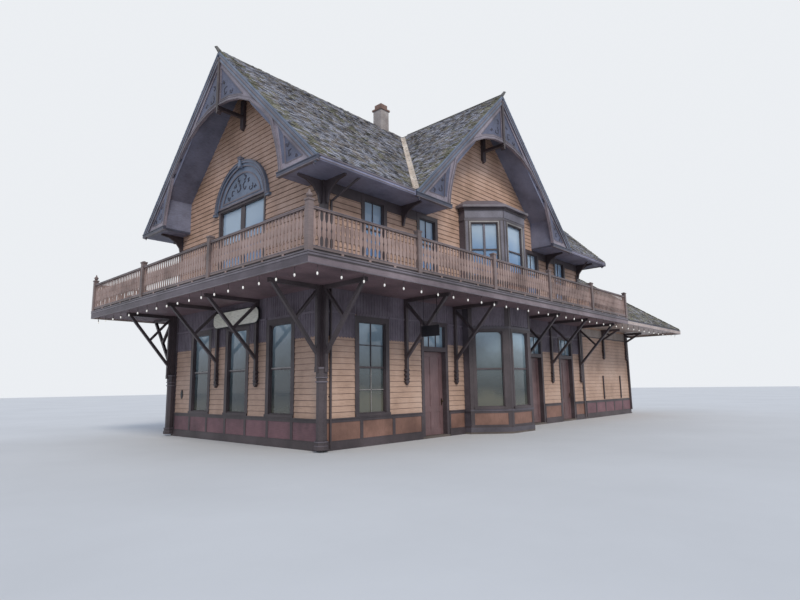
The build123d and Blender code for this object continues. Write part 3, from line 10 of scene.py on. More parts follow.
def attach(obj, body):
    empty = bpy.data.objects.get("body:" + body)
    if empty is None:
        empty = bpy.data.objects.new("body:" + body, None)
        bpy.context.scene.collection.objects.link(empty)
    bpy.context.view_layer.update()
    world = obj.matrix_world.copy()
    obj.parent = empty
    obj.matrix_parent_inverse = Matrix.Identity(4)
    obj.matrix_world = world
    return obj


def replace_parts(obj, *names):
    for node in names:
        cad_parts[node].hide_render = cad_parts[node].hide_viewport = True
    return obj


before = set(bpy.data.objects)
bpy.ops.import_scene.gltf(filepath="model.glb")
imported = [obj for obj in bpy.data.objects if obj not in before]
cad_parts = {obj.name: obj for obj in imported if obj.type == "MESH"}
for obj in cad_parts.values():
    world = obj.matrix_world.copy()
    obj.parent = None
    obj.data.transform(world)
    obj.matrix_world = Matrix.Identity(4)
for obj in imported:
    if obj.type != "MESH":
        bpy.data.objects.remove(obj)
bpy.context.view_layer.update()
rng = random.Random(7)


# Plinth and ground floor: a low deck of bare weathered boards, one solid of the frame. Old wood is
# grey and brown in patches, rough and without gloss.

# A colour is written as it looks, in hex, and turned here into the linear value that a shader takes.
def tint(code):
    parts = [int(code[i : i + 2], 16) / 255 for i in (0, 2, 4)]
    return [c / 12.92 if c <= 0.04045 else ((c + 0.055) / 1.055) ** 2.4 for c in parts] + [1]


# Adds one shader node: its settings, a ramp's stops, and its inputs by name, or by number as _0, _1.
def node(tree, kind, props=(), stops=(), **values):
    made = tree.nodes.new(kind)
    for key, value in dict(props).items():
        setattr(made, key, value)
    if stops:
        band = made.color_ramp
        while len(band.elements) < len(stops):
            band.elements.new(0.5)
        for element, (at, code) in zip(band.elements, stops):
            element.position = at
            element.color = tint(code)
    for key, value in values.items():
        plug = made.inputs[int(key[1:])] if key[1:].isdigit() else made.inputs[key.replace("_", " ")]
        if isinstance(value, bpy.types.NodeSocket):
            tree.links.new(value, plug)
        else:
            plug.default_value = value
    return made


# Opens a finish of soft patches, scale of them to a metre, in the colours of the stops: gives its
# shader, the piece's own coordinates and the patches.
def open_finish(name, scale, rough, stops=()):
    mat = bpy.data.materials.new(name)
    mat.use_nodes = True
    tree = mat.node_tree
    shader = tree.nodes["Principled BSDF"]
    shader.inputs["Roughness"].default_value = rough
    place = node(tree, "ShaderNodeTexCoord").outputs["Object"]
    noise = node(tree, "ShaderNodeTexNoise", Vector=place, Scale=scale, Detail=6.0, Roughness=0.6)
    patch = noise.outputs["Fac"]
    if stops:
        patch = node(tree, "ShaderNodeValToRGB", (), stops, Fac=patch).outputs[0]
        tree.links.new(patch, shader.inputs["Base Color"])
    return mat, tree, shader, place, patch


# Works a fine pattern into the patches: darker where it is low, and in a slight relief.
def work_in(tree, shader, patch, fine, stops, share, strength, deep):
    shade = node(tree, "ShaderNodeValToRGB", (), stops, Fac=fine).outputs[0]
    mixed = node(tree, "ShaderNodeMixRGB", {"blend_type": "MULTIPLY"}, Fac=share, Color1=patch, Color2=shade)
    tree.links.new(mixed.outputs[0], shader.inputs["Base Color"])
    bump = node(tree, "ShaderNodeBump", Height=fine, Strength=strength, Distance=deep)
    tree.links.new(bump.outputs[0], shader.inputs["Normal"])


# Brushed paint on sawn wood: faded patches about a metre wide, and grain drawn out along the board.
# grain counts the streaks in half a metre along X, Y and Z: at 60 they are 8 mm apart, coarser than
# real brush marks so that they show.
def painted(name, light, base, dark, rough=0.62, grain=(3, 3, 60)):
    faded = [(0.32, dark), (0.5, base), (0.7, light)]
    mat, tree, shader, place, patch = open_finish(name, 0.9, rough, faded)
    drawn = node(tree, "ShaderNodeMapping", Vector=place, Scale=grain).outputs[0]
    lines = node(tree, "ShaderNodeTexNoise", Vector=drawn, Scale=2.0, Detail=4.0).outputs["Fac"]
    work_in(tree, shader, patch, lines, [(0.3, "bdb8b2"), (0.55, "ffffff")], 0.55, 0.16, 0.004)
    return mat


# Gives solids of the frame their finish.
def dress(finish, names):
    for name in names.split():
        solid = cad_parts[name]
        solid.data.materials.clear()
        solid.data.materials.append(finish)


deck_wood = painted("weathered_decking", "7a6f66", "675d56", "4e4742", rough=0.8, grain=(2, 40, 40))
dress(deck_wood, "foundation")


# Walls: lap siding of tapered boards nailed on in six-inch courses, cut round the openings and along
# the gables. Each board's foot stands over the one below, and the top strip of the board below is
# painted darker as the shade under that foot. The paint is matt and faded in patches, the upper storey's the
# warmer.
siding_low = painted("painted_siding_lower", "cdaf9a", "bf9e88", "a88974", grain=(2, 2, 70))
siding_high = painted("painted_siding_upper", "d3b19c", "bf9b84", "a1816b", grain=(2, 2, 70))
# Darker copies of the siding paints, laid as painted shade under each board's foot.
lap_shade_low = painted("painted_siding_lower_lap_shade", "a1867a", "8d7467", "776157", grain=(2, 2, 70))
lap_shade_high = painted("painted_siding_upper_lap_shade", "7d6455", "685347", "524038", grain=(2, 2, 70))
dress(siding_low, "near_wall track_wall_piers track_wall_lintels rear_wall freight_walls")
dress(siding_high, "near_gable_wall far_wall upper_side_walls cross_gable_walls")

MAIN_END = 7.475
MAIN_SIDE = 3.95
FREIGHT_END = 12.765
CEILING = 4.05
FREIGHT_TOP = 4.0
UPPER_FOOT = 4.27
GABLE_TOP = 10.9
COURSE = 0.1524
LAP = 0.02
SHADOW_LINE = 0.017


# Puts a mesh, the camera or a light in the scene.
def put(name, data):
    made = bpy.data.objects.new(name, data)
    bpy.context.scene.collection.objects.link(made)
    return made


# Runs a builder on an empty mesh and makes it a piece that rides on a body.
def piece(name, build, mats, body="building"):
    mesh = bpy.data.meshes.new(name)
    bm = bmesh.new()
    build(bm)
    bmesh.ops.recalc_face_normals(bm, faces=bm.faces)
    bm.to_mesh(mesh)
    bm.free()
    for mat in mats:
        mesh.materials.append(mat)
    made = put(name, mesh)
    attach(made, body)
    return made


# A six-sided block from eight corners: four below, four above, in the same order.
def block(bm, corners, mat=0):
    v = [bm.verts.new(c) for c in corners]
    for ids in ((0, 1, 2, 3), (7, 6, 5, 4), (0, 4, 5, 1), (1, 5, 6, 2), (2, 6, 7, 3), (3, 7, 4, 0)):
        face = bm.faces.new([v[i] for i in ids])
        face.material_index = mat


# A wall in its own terms: start point, direction along it, outward direction.
class Wall:
    def __init__(self, origin, along, out):
        self.o, self.a, self.n = Vector(origin), Vector(along), Vector(out)

    def at(self, u, z, d=0.0):
        p = self.o + self.a * u + self.n * d
        return (p.x, p.y, z)


near = Wall((-MAIN_END, 0, 0), (0, -1, 0), (-1, 0, 0))
far = Wall((MAIN_END, 0, 0), (0, 1, 0), (1, 0, 0))
track = Wall((0, -MAIN_SIDE, 0), (1, 0, 0), (0, -1, 0))
rear = Wall((0, MAIN_SIDE, 0), (-1, 0, 0), (0, 1, 0))
freight_end = Wall((FREIGHT_END, 0, 0), (0, 1, 0), (1, 0, 0))


# Openings of one size along a wall, each as its two sides, sill and head.
def openings(places, half, sill, head):
    return [(u - half, u + half, sill, head) for u in places]


END_WINDOWS = (-2.18, 0, 2.18)
CORNER_WINDOW = -5.75
REAR_WINDOWS = (-5.75, -3.08, 0, 3.08, 5.75)
DOORS = (-3.08, 3.08, 5.75)
UPPER_WINDOWS = (-5.645, -3.295, 3.295, 5.645)
BAY = (-1.605, 1.605, 0, 9)
near_holes = openings(END_WINDOWS, 0.65, 0.76, 3.41)
track_holes = openings(DOORS, 0.65, 0, 3.5) + openings([CORNER_WINDOW], 0.65, 0.76, 3.41) + [BAY]
rear_holes = openings(REAR_WINDOWS, 0.65, 0.76, 3.41)
upper_holes = openings(UPPER_WINDOWS, 0.51, 5.03, 6.85)
rear_middle = (-0.51, 0.51, 5.03, 6.85)
hood_pair = (-1.32, 1.32, 4.85, 7.24)


# One stretch of board, from one height and depth to another.
def lap(bm, wall, u0, u1, low, high, proud_low, proud_high, mat):
    foot = [wall.at(u, low, d) for u, d in ((u0, 0), (u1, 0), (u1, proud_low), (u0, proud_low))]
    head = [wall.at(u, high, d) for u, d in ((u0, 0), (u1, 0), (u1, proud_high), (u0, proud_high))]
    block(bm, foot + head, mat)


# What is left of a run from a to b beside the cuts in it.
def stretches(a, b, cuts):
    runs = []
    for start, end in sorted(cuts):
        if start > a:
            runs.append((a, min(start, b)))
        a = max(a, end)
    if a < b:
        runs.append((a, b))
    return runs


# Siding on a wall between two heights. limit gives a gable's half width at a height.
def courses(bm, wall, span, foot, head, holes=(), limit=None):
    for i in range(int((head - foot) / COURSE) + 1):
        low, high = foot + i * COURSE, min(foot + (i + 1) * COURSE, head)
        if high - low < 0.01:
            continue
        a, b = span
        if limit:
            half = limit(high)
            a, b = max(a, -half), min(b, half)
        if b - a < 0.05:
            continue
        cuts = [hole[:2] for hole in holes if hole[2] < high - 0.01 and hole[3] > low + 0.01]
        line = max(low, high - SHADOW_LINE)
        for u0, u1 in stretches(a, b, cuts):
            if u1 - u0 > 0.01:
                lap(bm, wall, u0, u1, low, line, LAP, 0.006, 0)
                # The top strip of each board is painted shade under the foot of the board above.
                lap(bm, wall, u0, u1, line, high, 0.006, 0.003, 1)


def lower_siding(bm):
    foot, frieze_foot = 0.765, 2.83
    courses(bm, near, (-3.9, 3.9), foot, frieze_foot, near_holes)
    courses(bm, track, (-7.4, MAIN_END), foot, frieze_foot, track_holes)
    courses(bm, rear, (-MAIN_END, 7.4), foot, frieze_foot, rear_holes)
    courses(bm, track, (MAIN_END, FREIGHT_END), foot, FREIGHT_TOP)
    courses(bm, rear, (-FREIGHT_END, -MAIN_END), foot, FREIGHT_TOP)
    courses(bm, freight_end, (-MAIN_SIDE, MAIN_SIDE), foot, FREIGHT_TOP)


def gable_half(z):
    return 11.793 - z


def upper_siding(bm):
    eave = 6.556
    courses(bm, near, (-3.8, 3.8), UPPER_FOOT, GABLE_TOP, [hood_pair], gable_half)
    courses(bm, far, (-3.8, 3.8), UPPER_FOOT, GABLE_TOP, [], gable_half)
    courses(bm, track, (-7.32, 7.32), UPPER_FOOT, eave, upper_holes + [BAY])
    courses(bm, rear, (-7.32, 7.32), UPPER_FOOT, eave, upper_holes + [rear_middle])
    gable_foot = UPPER_FOOT + 15 * COURSE
    for wall, hole in ((track, (-1.605, 1.605, 0, 7.45)), (rear, rear_middle)):
        courses(bm, wall, (-3.3, 3.3), gable_foot, GABLE_TOP, upper_holes + [hole], gable_half)


piece("siding_lower", lower_siding, [siding_low, lap_shade_low])
piece("siding_upper", upper_siding, [siding_high, lap_shade_high])


# Wainscot at the foot of the walls: rails and stiles nailed round sunk panels, over a base board and
# under a moulded cap. Dark trim paint, worn and slightly glossy, with reddish or tan panels.
trim = painted("painted_trim_dark", "5a4f52", "4a4042", "393134", rough=0.5, grain=(20, 20, 20))
panel_tan = painted("painted_wainscot_panels", "9a7465", "866354", "6a4c40", grain=(60, 60, 3))
panel_red = painted("painted_wainscot_red", "8a6569", "77555a", "5c4247", rough=0.6, grain=(2, 2, 60))
dress(trim, "wainscot")


# A block laid on a wall: from u0 to u1 along it, z0 to z1 up it, d0 to d1 out from it.
def slab(bm, wall, u0, u1, z0, z1, d0, d1, mat=0):
    ring = [(u0, d0), (u1, d0), (u1, d1), (u0, d1)]
    block(bm, [wall.at(u, z0, d) for u, d in ring] + [wall.at(u, z1, d) for u, d in ring], mat)


def wainscot(bm, wall, start, end, mat):
    for low, high, proud in ((0.0, 0.2, 0.05), (0.2, 0.225, 0.04), (0.665, 0.765, 0.038), (0.74, 0.77, 0.06)):
        slab(bm, wall, start, end, low, high, 0.022, proud)
    count = max(1, round((end - start) / 1.05))
    for i in range(count + 1):
        u = start + (end - start) / count * i
        slab(bm, wall, max(u - 0.055, start), min(u + 0.055, end), 0.2, 0.67, 0.022, 0.036)
    slab(bm, wall, start, end, 0.22, 0.67, 0.02, 0.026, mat)


def wainscots(bm):
    for a, b in ((-7.4, -3.73), (-2.43, -1.61), (1.61, 2.43), (3.73, 5.1), (6.4, 7.4)):
        wainscot(bm, track, a, b, 1)
    wainscot(bm, track, 7.5, 12.7, 2)
    wainscot(bm, near, -3.86, 3.86, 2)
    wainscot(bm, rear, -12.7, 7.4, 2)
    wainscot(bm, freight_end, -3.9, 3.9, 2)


piece("wainscot_panels", wainscots, [trim, panel_tan, panel_red])


# Corner boards: plain planks nailed over the siding's ends at the corners of the ground floor.
dress(trim, "upper_trim")


def corner_boards(bm):
    for wall, u0, u1 in (
        (near, -3.972, -3.84), (near, 3.84, 3.972), (track, -7.505, -7.37), (rear, 7.37, 7.505),
        (track, 7.36, 7.47), (rear, -7.47, -7.36),
    ):
        slab(bm, wall, u0, u1, 0.77, CEILING, 0, 0.03)


piece("corner_boards", corner_boards, [trim])


# Ground floor frieze: upright boards with pointed feet, a narrow batten up the middle of each, and a
# level rail across them. Dusty brown-grey paint.
trim_red = painted("painted_trim_brown", "857a84", "716770", "574d55", rough=0.55, grain=(40, 40, 4))
TOOTH = 0.104
DIAGONAL = 0.5**0.5
bay_front = Wall((0, -5.13, 0), (1, 0, 0), (0, -1, 0))
bay_left = Wall((-1.14, -4.665, 0), (DIAGONAL, -DIAGONAL, 0), (-DIAGONAL, -DIAGONAL, 0))
bay_right = Wall((1.14, -4.665, 0), (DIAGONAL, DIAGONAL, 0), (DIAGONAL, -DIAGONAL, 0))
bay_faces = ((bay_front, 0.675), (bay_left, 0.655), (bay_right, 0.655))


# Draws flat faces out to their thickness.
def thicken(bm, faces, reach):
    drawn = bmesh.ops.extrude_face_region(bm, geom=faces)["geom"]
    bmesh.ops.translate(bm, vec=reach, verts=[v for v in drawn if isinstance(v, bmesh.types.BMVert)])


# A flat outline on a wall, thickened outward.
def plate(bm, wall, outline, d0, d1, mat=0):
    sawn = bm.faces.new([bm.verts.new(wall.at(u, z, d0)) for u, z in outline])
    sawn.material_index = mat
    thicken(bm, [sawn], wall.n * (d1 - d0))


# A board that an opening cuts is trimmed to its edge, or stands on its head.
def toothed(bm, wall, start, end, low, holes):
    count = max(1, round((end - start) / TOOTH))
    pitch = (end - start) / count
    for i in range(count):
        u0, u1 = start + pitch * i, start + pitch * (i + 1) - 0.006
        foot = low
        for a, b, sill, head in holes:
            if u1 > a + 0.001 and u0 < b - 0.001:
                if u0 < a - 0.03:
                    u1 = a
                elif u1 > b + 0.03:
                    u0 = b
                else:
                    foot = max(foot, head)
        if u1 - u0 < 0.02 or foot >= CEILING:
            continue
        mid = (u0 + u1) / 2
        base = [(u0, foot + 0.05), (mid, foot), (u1, foot + 0.05)]
        if foot > low:
            base = [(u0, foot), (u1, foot)]
        plate(bm, wall, base + [(u1, CEILING), (u0, CEILING)], 0, 0.02)
        slab(bm, wall, mid - 0.012, mid + 0.012, foot + 0.06, CEILING, 0.018, 0.032)


def frieze(bm):
    for wall, end, holes in (
        (near, MAIN_SIDE, near_holes), (track, MAIN_END, track_holes), (rear, MAIN_END, rear_holes),
    ):
        toothed(bm, wall, -end, end, 2.79, holes)
    for wall, half in bay_faces:
        toothed(bm, wall, -half, half, 3.42, [(-9, 9, 0, 3.42)])
    for wall, end, holes in ((near, 3.9, near_holes), (track, 7.4, track_holes), (rear, 7.4, rear_holes)):
        for u0, u1 in stretches(-end, end, [hole[:2] for hole in holes]):
            slab(bm, wall, u0, u1, 3.42, 3.47, 0.018, 0.045)
        for u0, u1 in stretches(-end, end, [(-1.7, 1.7)] if wall is track else []):
            slab(bm, wall, u0, u1, 3.44, CEILING, 0, 0.008)


piece("toothed_frieze", frieze, [trim_red])


# Windows: smooth panes in painted sashes. Glass is glossy and half clear, and its colour is a painted
# reflection of the street, the trees and the sky, toned by height.
def clear_glass(name, foot, head, tones, alpha):
    mat, tree, shader, place, patch = open_finish(name, 0.5, 0.05)
    height = node(tree, "ShaderNodeSeparateXYZ", Vector=place).outputs["Z"]
    level = node(tree, "ShaderNodeMapRange", Value=height, From_Min=foot, From_Max=head)
    drift = node(tree, "ShaderNodeMath", {"operation": "MULTIPLY_ADD"}, _0=patch, _1=0.7, _2=level.outputs[0])
    shade = node(tree, "ShaderNodeMath", {"operation": "SUBTRACT"}, _0=drift.outputs[0], _1=0.35)
    tone = node(tree, "ShaderNodeValToRGB", (), tones, Fac=shade.outputs[0])
    tree.links.new(tone.outputs[0], shader.inputs["Base Color"])
    shader.inputs["Specular IOR Level"].default_value = 0.8
    shader.inputs["Alpha"].default_value = alpha
    return mat


# Painted reflections: the street and trees low in the lower panes, the sky in the upper.
street_reflection = [(0.05, "6b6a5c"), (0.25, "454c4c"), (0.5, "5b6668"), (0.72, "7b8a90"), (0.95, "a9c0cc")]
sky_reflection = [(0.1, "6488b4"), (0.45, "85a9cc"), (0.8, "bccfdd")]
dress(clear_glass("window_glass_lower", 0.8, 3.3, street_reflection, 0.82), "lower_glass")
dress(clear_glass("window_glass_upper", 5.0, 7.0, sky_reflection, 0.68), "upper_glass")
dress(trim, "lower_windows upper_windows")
sash_pale = painted("painted_sash_edges", "a9a49e", "8f8a86", "6f6b68", rough=0.45, grain=(20, 20, 20))
SASH = 0.055
HALF_BAR = 0.011
LOWER_HEAD = 3.29


# An upright bar and level bars between the rows of panes, the lowest rows' bars pale.
def glazing(bm, wall, u, width, sill, head, rows, pale=0):
    left, right, foot, top = u - width / 2 + SASH, u + width / 2 - SASH, sill + SASH, head - SASH
    middle = left + (right - left) / 2
    change = foot + (top - foot) * pale / rows
    slab(bm, wall, middle - HALF_BAR, middle + HALF_BAR, change, top, -0.069, -0.045)
    if pale:
        slab(bm, wall, middle - HALF_BAR, middle + HALF_BAR, foot, change, -0.069, -0.045, 1)
    for i in range(1, rows):
        z = foot + (top - foot) * i / rows
        slab(bm, wall, left, right, z - HALF_BAR, z + HALF_BAR, -0.069, -0.045, 1 if i <= pale else 0)


# Small hollow spandrels in the upper corners of a pane.
def spandrels(bm, wall, u, width):
    top, size = LOWER_HEAD - SASH, 0.15
    for sign in (-1, 1):
        edge = u + sign * (width / 2 - SASH)
        outline = [(edge, top)]
        for i in range(6):
            turn = math.pi / 2 * i / 5
            outline.append((edge - sign * size * (1 - math.sin(turn)), top - size * (1 - math.cos(turn))))
        plate(bm, wall, outline, -0.069, -0.04)


def window_bars(bm):
    for u in END_WINDOWS:
        spandrels(bm, near, u, 1.06)
        slab(bm, near, u - 0.47, u + 0.47, 2.055, 2.085, -0.055, -0.03, 1)
    for u in REAR_WINDOWS:
        spandrels(bm, rear, u, 1.06)
    for wall, width in ((bay_front, 1.0), (bay_left, 0.96), (bay_right, 0.96)):
        spandrels(bm, wall, 0, width)
    glazing(bm, track, CORNER_WINDOW, 1.06, 0.81, LOWER_HEAD, 4, 2)
    for wall, places in ((track, UPPER_WINDOWS), (rear, UPPER_WINDOWS + (0,))):
        for u in places:
            glazing(bm, wall, u, 0.81, 5.08, 6.74, 2)
    for wall in (bay_left, bay_right):
        glazing(bm, wall, 0, 0.96, 5.08, 6.96, 2)
    for x in DOORS:
        for u in (x - 0.17, x + 0.17):
            slab(bm, track, u - 0.012, u + 0.012, 2.71, 3.36, -0.089, -0.07)


piece("glazing_bars", window_bars, [trim, sash_pale])


# Curtains behind the upper panes: white woven cotton in soft folds, matt, hung straight down.
curtain = painted("woven_curtain", "e3e4e6", "cfd2d6", "aab0b8", rough=0.9, grain=(60, 60, 2))


def drape(bm, wall, u0, u1, foot, head, depth, folds=7):
    steps = folds * 6
    cols = []
    for i in range(steps + 1):
        u = u0 + (u1 - u0) * i / steps
        d = depth - 0.018 * math.sin(i / steps * folds * 2 * math.pi)
        cols.append((bm.verts.new(wall.at(u, foot, d)), bm.verts.new(wall.at(u, head, d * 0.99))))
    for a, b in zip(cols, cols[1:]):
        bm.faces.new([a[0], b[0], b[1], a[1]])


def curtains(bm):
    for wall in (track, rear):
        for x in UPPER_WINDOWS:
            drape(bm, wall, x - 0.36, x + 0.36, 5.1, 6.1, -0.2)
    for u0, u1 in ((-1.2, -0.75), (-0.62, -0.2), (0.2, 0.62), (0.75, 1.2)):
        drape(bm, near, u0, u1, 4.95, 7.15, -0.2, 4)
    drape(bm, bay_front, -0.42, 0.42, 5.1, 6.93, -0.13, 9)
    for wall, a, b in ((bay_left, -0.42, 0.2), (bay_right, -0.2, 0.42)):
        drape(bm, wall, a, b, 5.1, 6.93, -0.12, 6)


piece("curtains", curtains, [curtain])


# Doors: panelled leaves with a middle stile and beads round the panels, satin red-brown paint. Each
# rides on its own hinge, and has a knob on a plate of worn brass, dull in patches.
door_paint = painted("painted_doors", "806564", "705756", "584342", rough=0.42, grain=(40, 40, 3))
dress(door_paint, "door_near door_middle door_far")
dress(trim, "door_frames")
brass, tree, shader, place, patch = open_finish("worn_brass", 8.0, 0.4, [(0.3, "4d4336"), (0.7, "756650")])
shader.inputs["Metallic"].default_value = 1.0
LEAF_FACE = -3.82


# Four beads round a panel or a pane.
def rim(bm, wall, a, b, z0, z1, wide, d0, d1, mat=0):
    for u0, u1 in ((a, a + wide), (b - wide, b)):
        slab(bm, wall, u0, u1, z0, z1, d0, d1, mat)
    for w0, w1 in ((z0, z0 + wide), (z1 - wide, z1)):
        slab(bm, wall, a + wide, b - wide, w0, w1, d0, d1, mat)


def door_panels(front):
    def build(bm):
        for z0, z1 in ((0.23, 0.77), (0.9, 2.43)):
            slab(bm, front, -0.06, 0.06, z0, z1, -0.015, 0.0)
            for a, b in ((-0.383, -0.06), (0.06, 0.383)):
                rim(bm, front, a, b, z0, z1, 0.02, -0.015, -0.004)

    return build


def door_fittings(front, u):
    def build(bm):
        slab(bm, front, u - 0.025, u + 0.025, 0.94, 1.14, 0.0, 0.006)
        centre = Vector(front.at(u, 1.06, 0.05))
        level = Matrix.Rotation(math.pi / 2, 4, "X")
        knob = Matrix.Translation(centre) @ level
        bmesh.ops.create_uvsphere(bm, u_segments=14, v_segments=9, radius=0.027, matrix=knob)
        shank = Matrix.Translation(centre + Vector((0, 0.025, 0))) @ level
        bmesh.ops.create_cone(
            bm, cap_ends=True, segments=12, radius1=0.011, radius2=0.011, depth=0.05, matrix=shank
        )

    return build


for label, x, knob_at in (("near", -3.08, 0.45), ("middle", 3.08, -0.45), ("far", 5.75, 0.45)):
    front = Wall((x, LEAF_FACE, 0), (1, 0, 0), (0, -1, 0))
    piece("door_panels_" + label, door_panels(front), [door_paint], label + "_leaf")
    piece("door_fittings_" + label, door_fittings(front, knob_at), [brass], label + "_leaf")


# Columns at the building's near corners: turned posts with paler eight-sided rings at the foot and
# round the capital, painted with the trim. The rings take the paler moulding paint, which here also stands in
# as painted highlight on them.
mould = painted("painted_mouldings", "82797f", "6f676d", "575056", rough=0.45, grain=(4, 4, 40))
dress(trim, "corner_columns")
COLUMN_RINGS = (
    (0.15, 0.165, 0.163), (0.24, 0.265, 0.163), (1.655, 1.685, 0.149), (1.765, 1.785, 0.153),
    (1.985, 2.015, 0.154),
)


def column_rings(bm):
    turned = Matrix.Rotation(math.pi / 8, 4, "Z")
    for side in (-1, 1):
        for low, high, half in COLUMN_RINGS:
            reach = half / math.cos(math.pi / 8)
            centre = Matrix.Translation((-7.564, side * 4.039, (low + high) / 2)) @ turned
            bmesh.ops.create_cone(
                bm, cap_ends=True, segments=8, radius1=reach, radius2=reach, depth=high - low, matrix=centre
            )


piece("column_rings", column_rings, [mould])


# Brackets under the balcony: sawn timber, each with a carved drop that ends in an arrow tip. The drops
# get their saw-toothed edges here.
dress(trim, "brackets")


def serrated(bm, wall, u, tip):
    for i in range(3):
        low = tip + 0.13 + i * 0.12
        for sign in (-1, 1):
            tooth = [(u + sign * 0.045, low), (u + sign * 0.09, low + 0.035), (u + sign * 0.045, low + 0.1)]
            plate(bm, wall, tooth, 0.02, 0.1)
    barb, neck = tip + 0.1, tip + 0.13
    arrow = [(u - 0.092, barb), (u, tip - 0.01), (u + 0.092, barb), (u + 0.045, neck), (u - 0.045, neck)]
    plate(bm, wall, arrow, 0.012, 0.1)


def pendants(bm):
    for u in (-4.42, -2.06, 2.06, 4.42, 7.05):
        serrated(bm, track, u, 1.575)
        serrated(bm, rear, u, 1.575)
    for u in (9.697, 12.565):
        serrated(bm, track, u, 2.655)
        serrated(bm, rear, -u, 2.655)
    for u in (-1.09, 1.09):
        serrated(bm, near, u, 1.575)


piece("bracket_pendants", pendants, [trim])


# Bay of two storeys: posts at its corners between the string courses, framed panels under the windows
# and pale beads round the sashes. Greyer paint above, where the casings weather.
casing_paint = painted("painted_bay_casings", "7f7b85", "6b6770", "514d56", rough=0.5, grain=(20, 20, 20))
board_paint = painted("painted_frieze_boards", "675f67", "565056", "443e44", rough=0.5, grain=(20, 20, 20))
dress(board_paint, "bay_walls")
dress(mould, "oriel_cap")
CORNER_POSTS = (
    (0.2, 0.705, 0.022), (0.765, 3.35, 0.022), (3.42, CEILING, 0.034), (UPPER_FOOT, 4.9, 0.022),
    (5.035, 7.02, 0.022), (7.09, 7.36, 0.022),
)
side_left = Wall((-1.605, -4.075, 0), (0, -1, 0), (-1, 0, 0))
side_right = Wall((1.605, -4.075, 0), (0, 1, 0), (1, 0, 0))


def bay_trim(bm):
    for wall, half in bay_faces + ((side_left, 0.125), (side_right, 0.125)):
        slab(bm, wall, -half - 0.02, half + 0.02, 0.2, 0.235, 0, 0.034)
        slab(bm, wall, -half - 0.02, half + 0.02, 7.36, 7.45, 0, 0.05)
    for wall, half in bay_faces:
        inner = half - 0.115
        for sign in (-1, 1):
            for low, high, proud in CORNER_POSTS:
                slab(bm, wall, sign * (half + 0.008), sign * inner, low, high, 0, proud)
            slab(bm, wall, sign * (half - 0.02), sign * (half - 0.1), 5.05, 7.0, 0, 0.028, 2)
        slab(bm, wall, -half, half, 7.1, 7.355, 0, 0.036, 2)
        rim(bm, wall, -0.505, 0.505, 5.06, 6.99, 0.04, 0.0, 0.034, 3)
        if wall is not bay_front:
            slab(bm, wall, -0.035, 0.035, 5.11, 6.93, -0.09, -0.03, 2)
        for z0, z1 in ((0.28, 0.645), (4.4, 4.83)):
            slab(bm, wall, -inner, inner, z0 - 0.045, z0, 0, 0.02)
            slab(bm, wall, -inner, inner, z1, z1 + 0.06, 0, 0.02)
            slab(bm, wall, -inner, inner, z0, z1, 0, 0.008, 1)


piece("bay_trim", bay_trim, [trim, panel_tan, casing_paint, sash_pale])


# Hood over the upper end windows: beads bent round its arch, blocks on its key and feet, and a carved
# spray in the sunk panel. Blue-grey paint, the carving nearly black.
verge_paint = painted("painted_verge_boards", "7f8a9c", "6a7587", "515b6c", rough=0.45, grain=(4, 4, 40))
carved = painted("painted_carving", "4b4753", "3f3b46", "302d36", rough=0.6, grain=(20, 20, 20))
dress(verge_paint, "gable_hood")
HOOD_CENTRE = 7.06
HOOD_BEADS = (
    (1.5, 0.028, 0.124, 7.17), (1.425, 0.022, 0.12, 7.17), (1.33, 0.03, 0.088, 7.26),
    (1.15, 0.05, 0.055, 7.44),
)
SPRAY = (
    (0.2, 7.72, 0.17, 1.6, 1), (0.5, 7.62, 0.13, 0.8, -1), (0.15, 8.0, 0.1, 2.0, -1),
    (0.75, 7.55, 0.08, 0.2, 1), (0.4, 7.86, 0.08, 1.2, 1),
)


# A line on a wall moved to its left.
def beside(line, away):
    pts = [Vector(p) for p in line]
    moved = []
    for i, p in enumerate(pts):
        run = (pts[min(i + 1, len(pts) - 1)] - pts[max(i - 1, 0)]).normalized()
        moved.append(p + Vector((-run.y, run.x)) * away)
    return moved


# A bead of even width along one side of a line on a wall.
def strip(bm, wall, line, width, d0, d1, side=1, mat=0):
    inner = beside(line, width * side)
    for i in range(len(line) - 1):
        plate(bm, wall, [line[i], line[i + 1], inner[i + 1], inner[i]], d0, d1, mat)


# A curling stem with three leaves, cut as a thin raised line.
def scroll(bm, wall, u, z, size, turn, sign, ground=0.914):
    line = []
    for i in range(13):
        radius = size * (1 - 0.75 * i / 12)
        angle = turn + sign * i / 12 * 4.6
        line.append((u + radius * math.cos(angle), z + radius * math.sin(angle)))
    strip(bm, wall, line, 0.018, ground, ground + 0.012)
    for i in (2, 5, 8):
        a, b = line[i]
        leaf = [(a, b), (a + 0.05 * math.cos(turn + i), b + 0.05 * math.sin(turn + i))]
        strip(bm, wall, leaf, 0.022, ground, ground + 0.011)


def hood(bm):
    for radius, width, proud, low in HOOD_BEADS:
        start = math.asin((low - HOOD_CENTRE) / radius)
        line = []
        for i in range(29):
            angle = start + (math.pi - 2 * start) * i / 28
            line.append((radius * math.cos(angle), HOOD_CENTRE + radius * math.sin(angle)))
        strip(bm, near, line, width, 0.038, proud)
    slab(bm, near, -1.1, 1.1, 7.36, 7.41, 0.038, 0.055)
    slab(bm, near, -1.3, 1.3, 7.24, 7.3, 0.038, 0.07)
    for low, high, half in ((8.33, 8.37, 0.075), (8.6, 8.64, 0.1), (8.66, 8.7, 0.11)):
        slab(bm, near, -half, half, low, high, 0.14, 0.165)
    for sign in (-1, 1):
        slab(bm, near, sign * 1.38, sign * 1.57, 7.14, 7.175, 0.1, 0.125)


def spray(bm):
    for sign in (1, -1):
        for u, z, size, turn, way in SPRAY:
            scroll(bm, near, sign * u, z, size, turn, sign * way, 0.029)


piece("hood_beads", hood, [mould])
piece("hood_carving", spray, [carved])
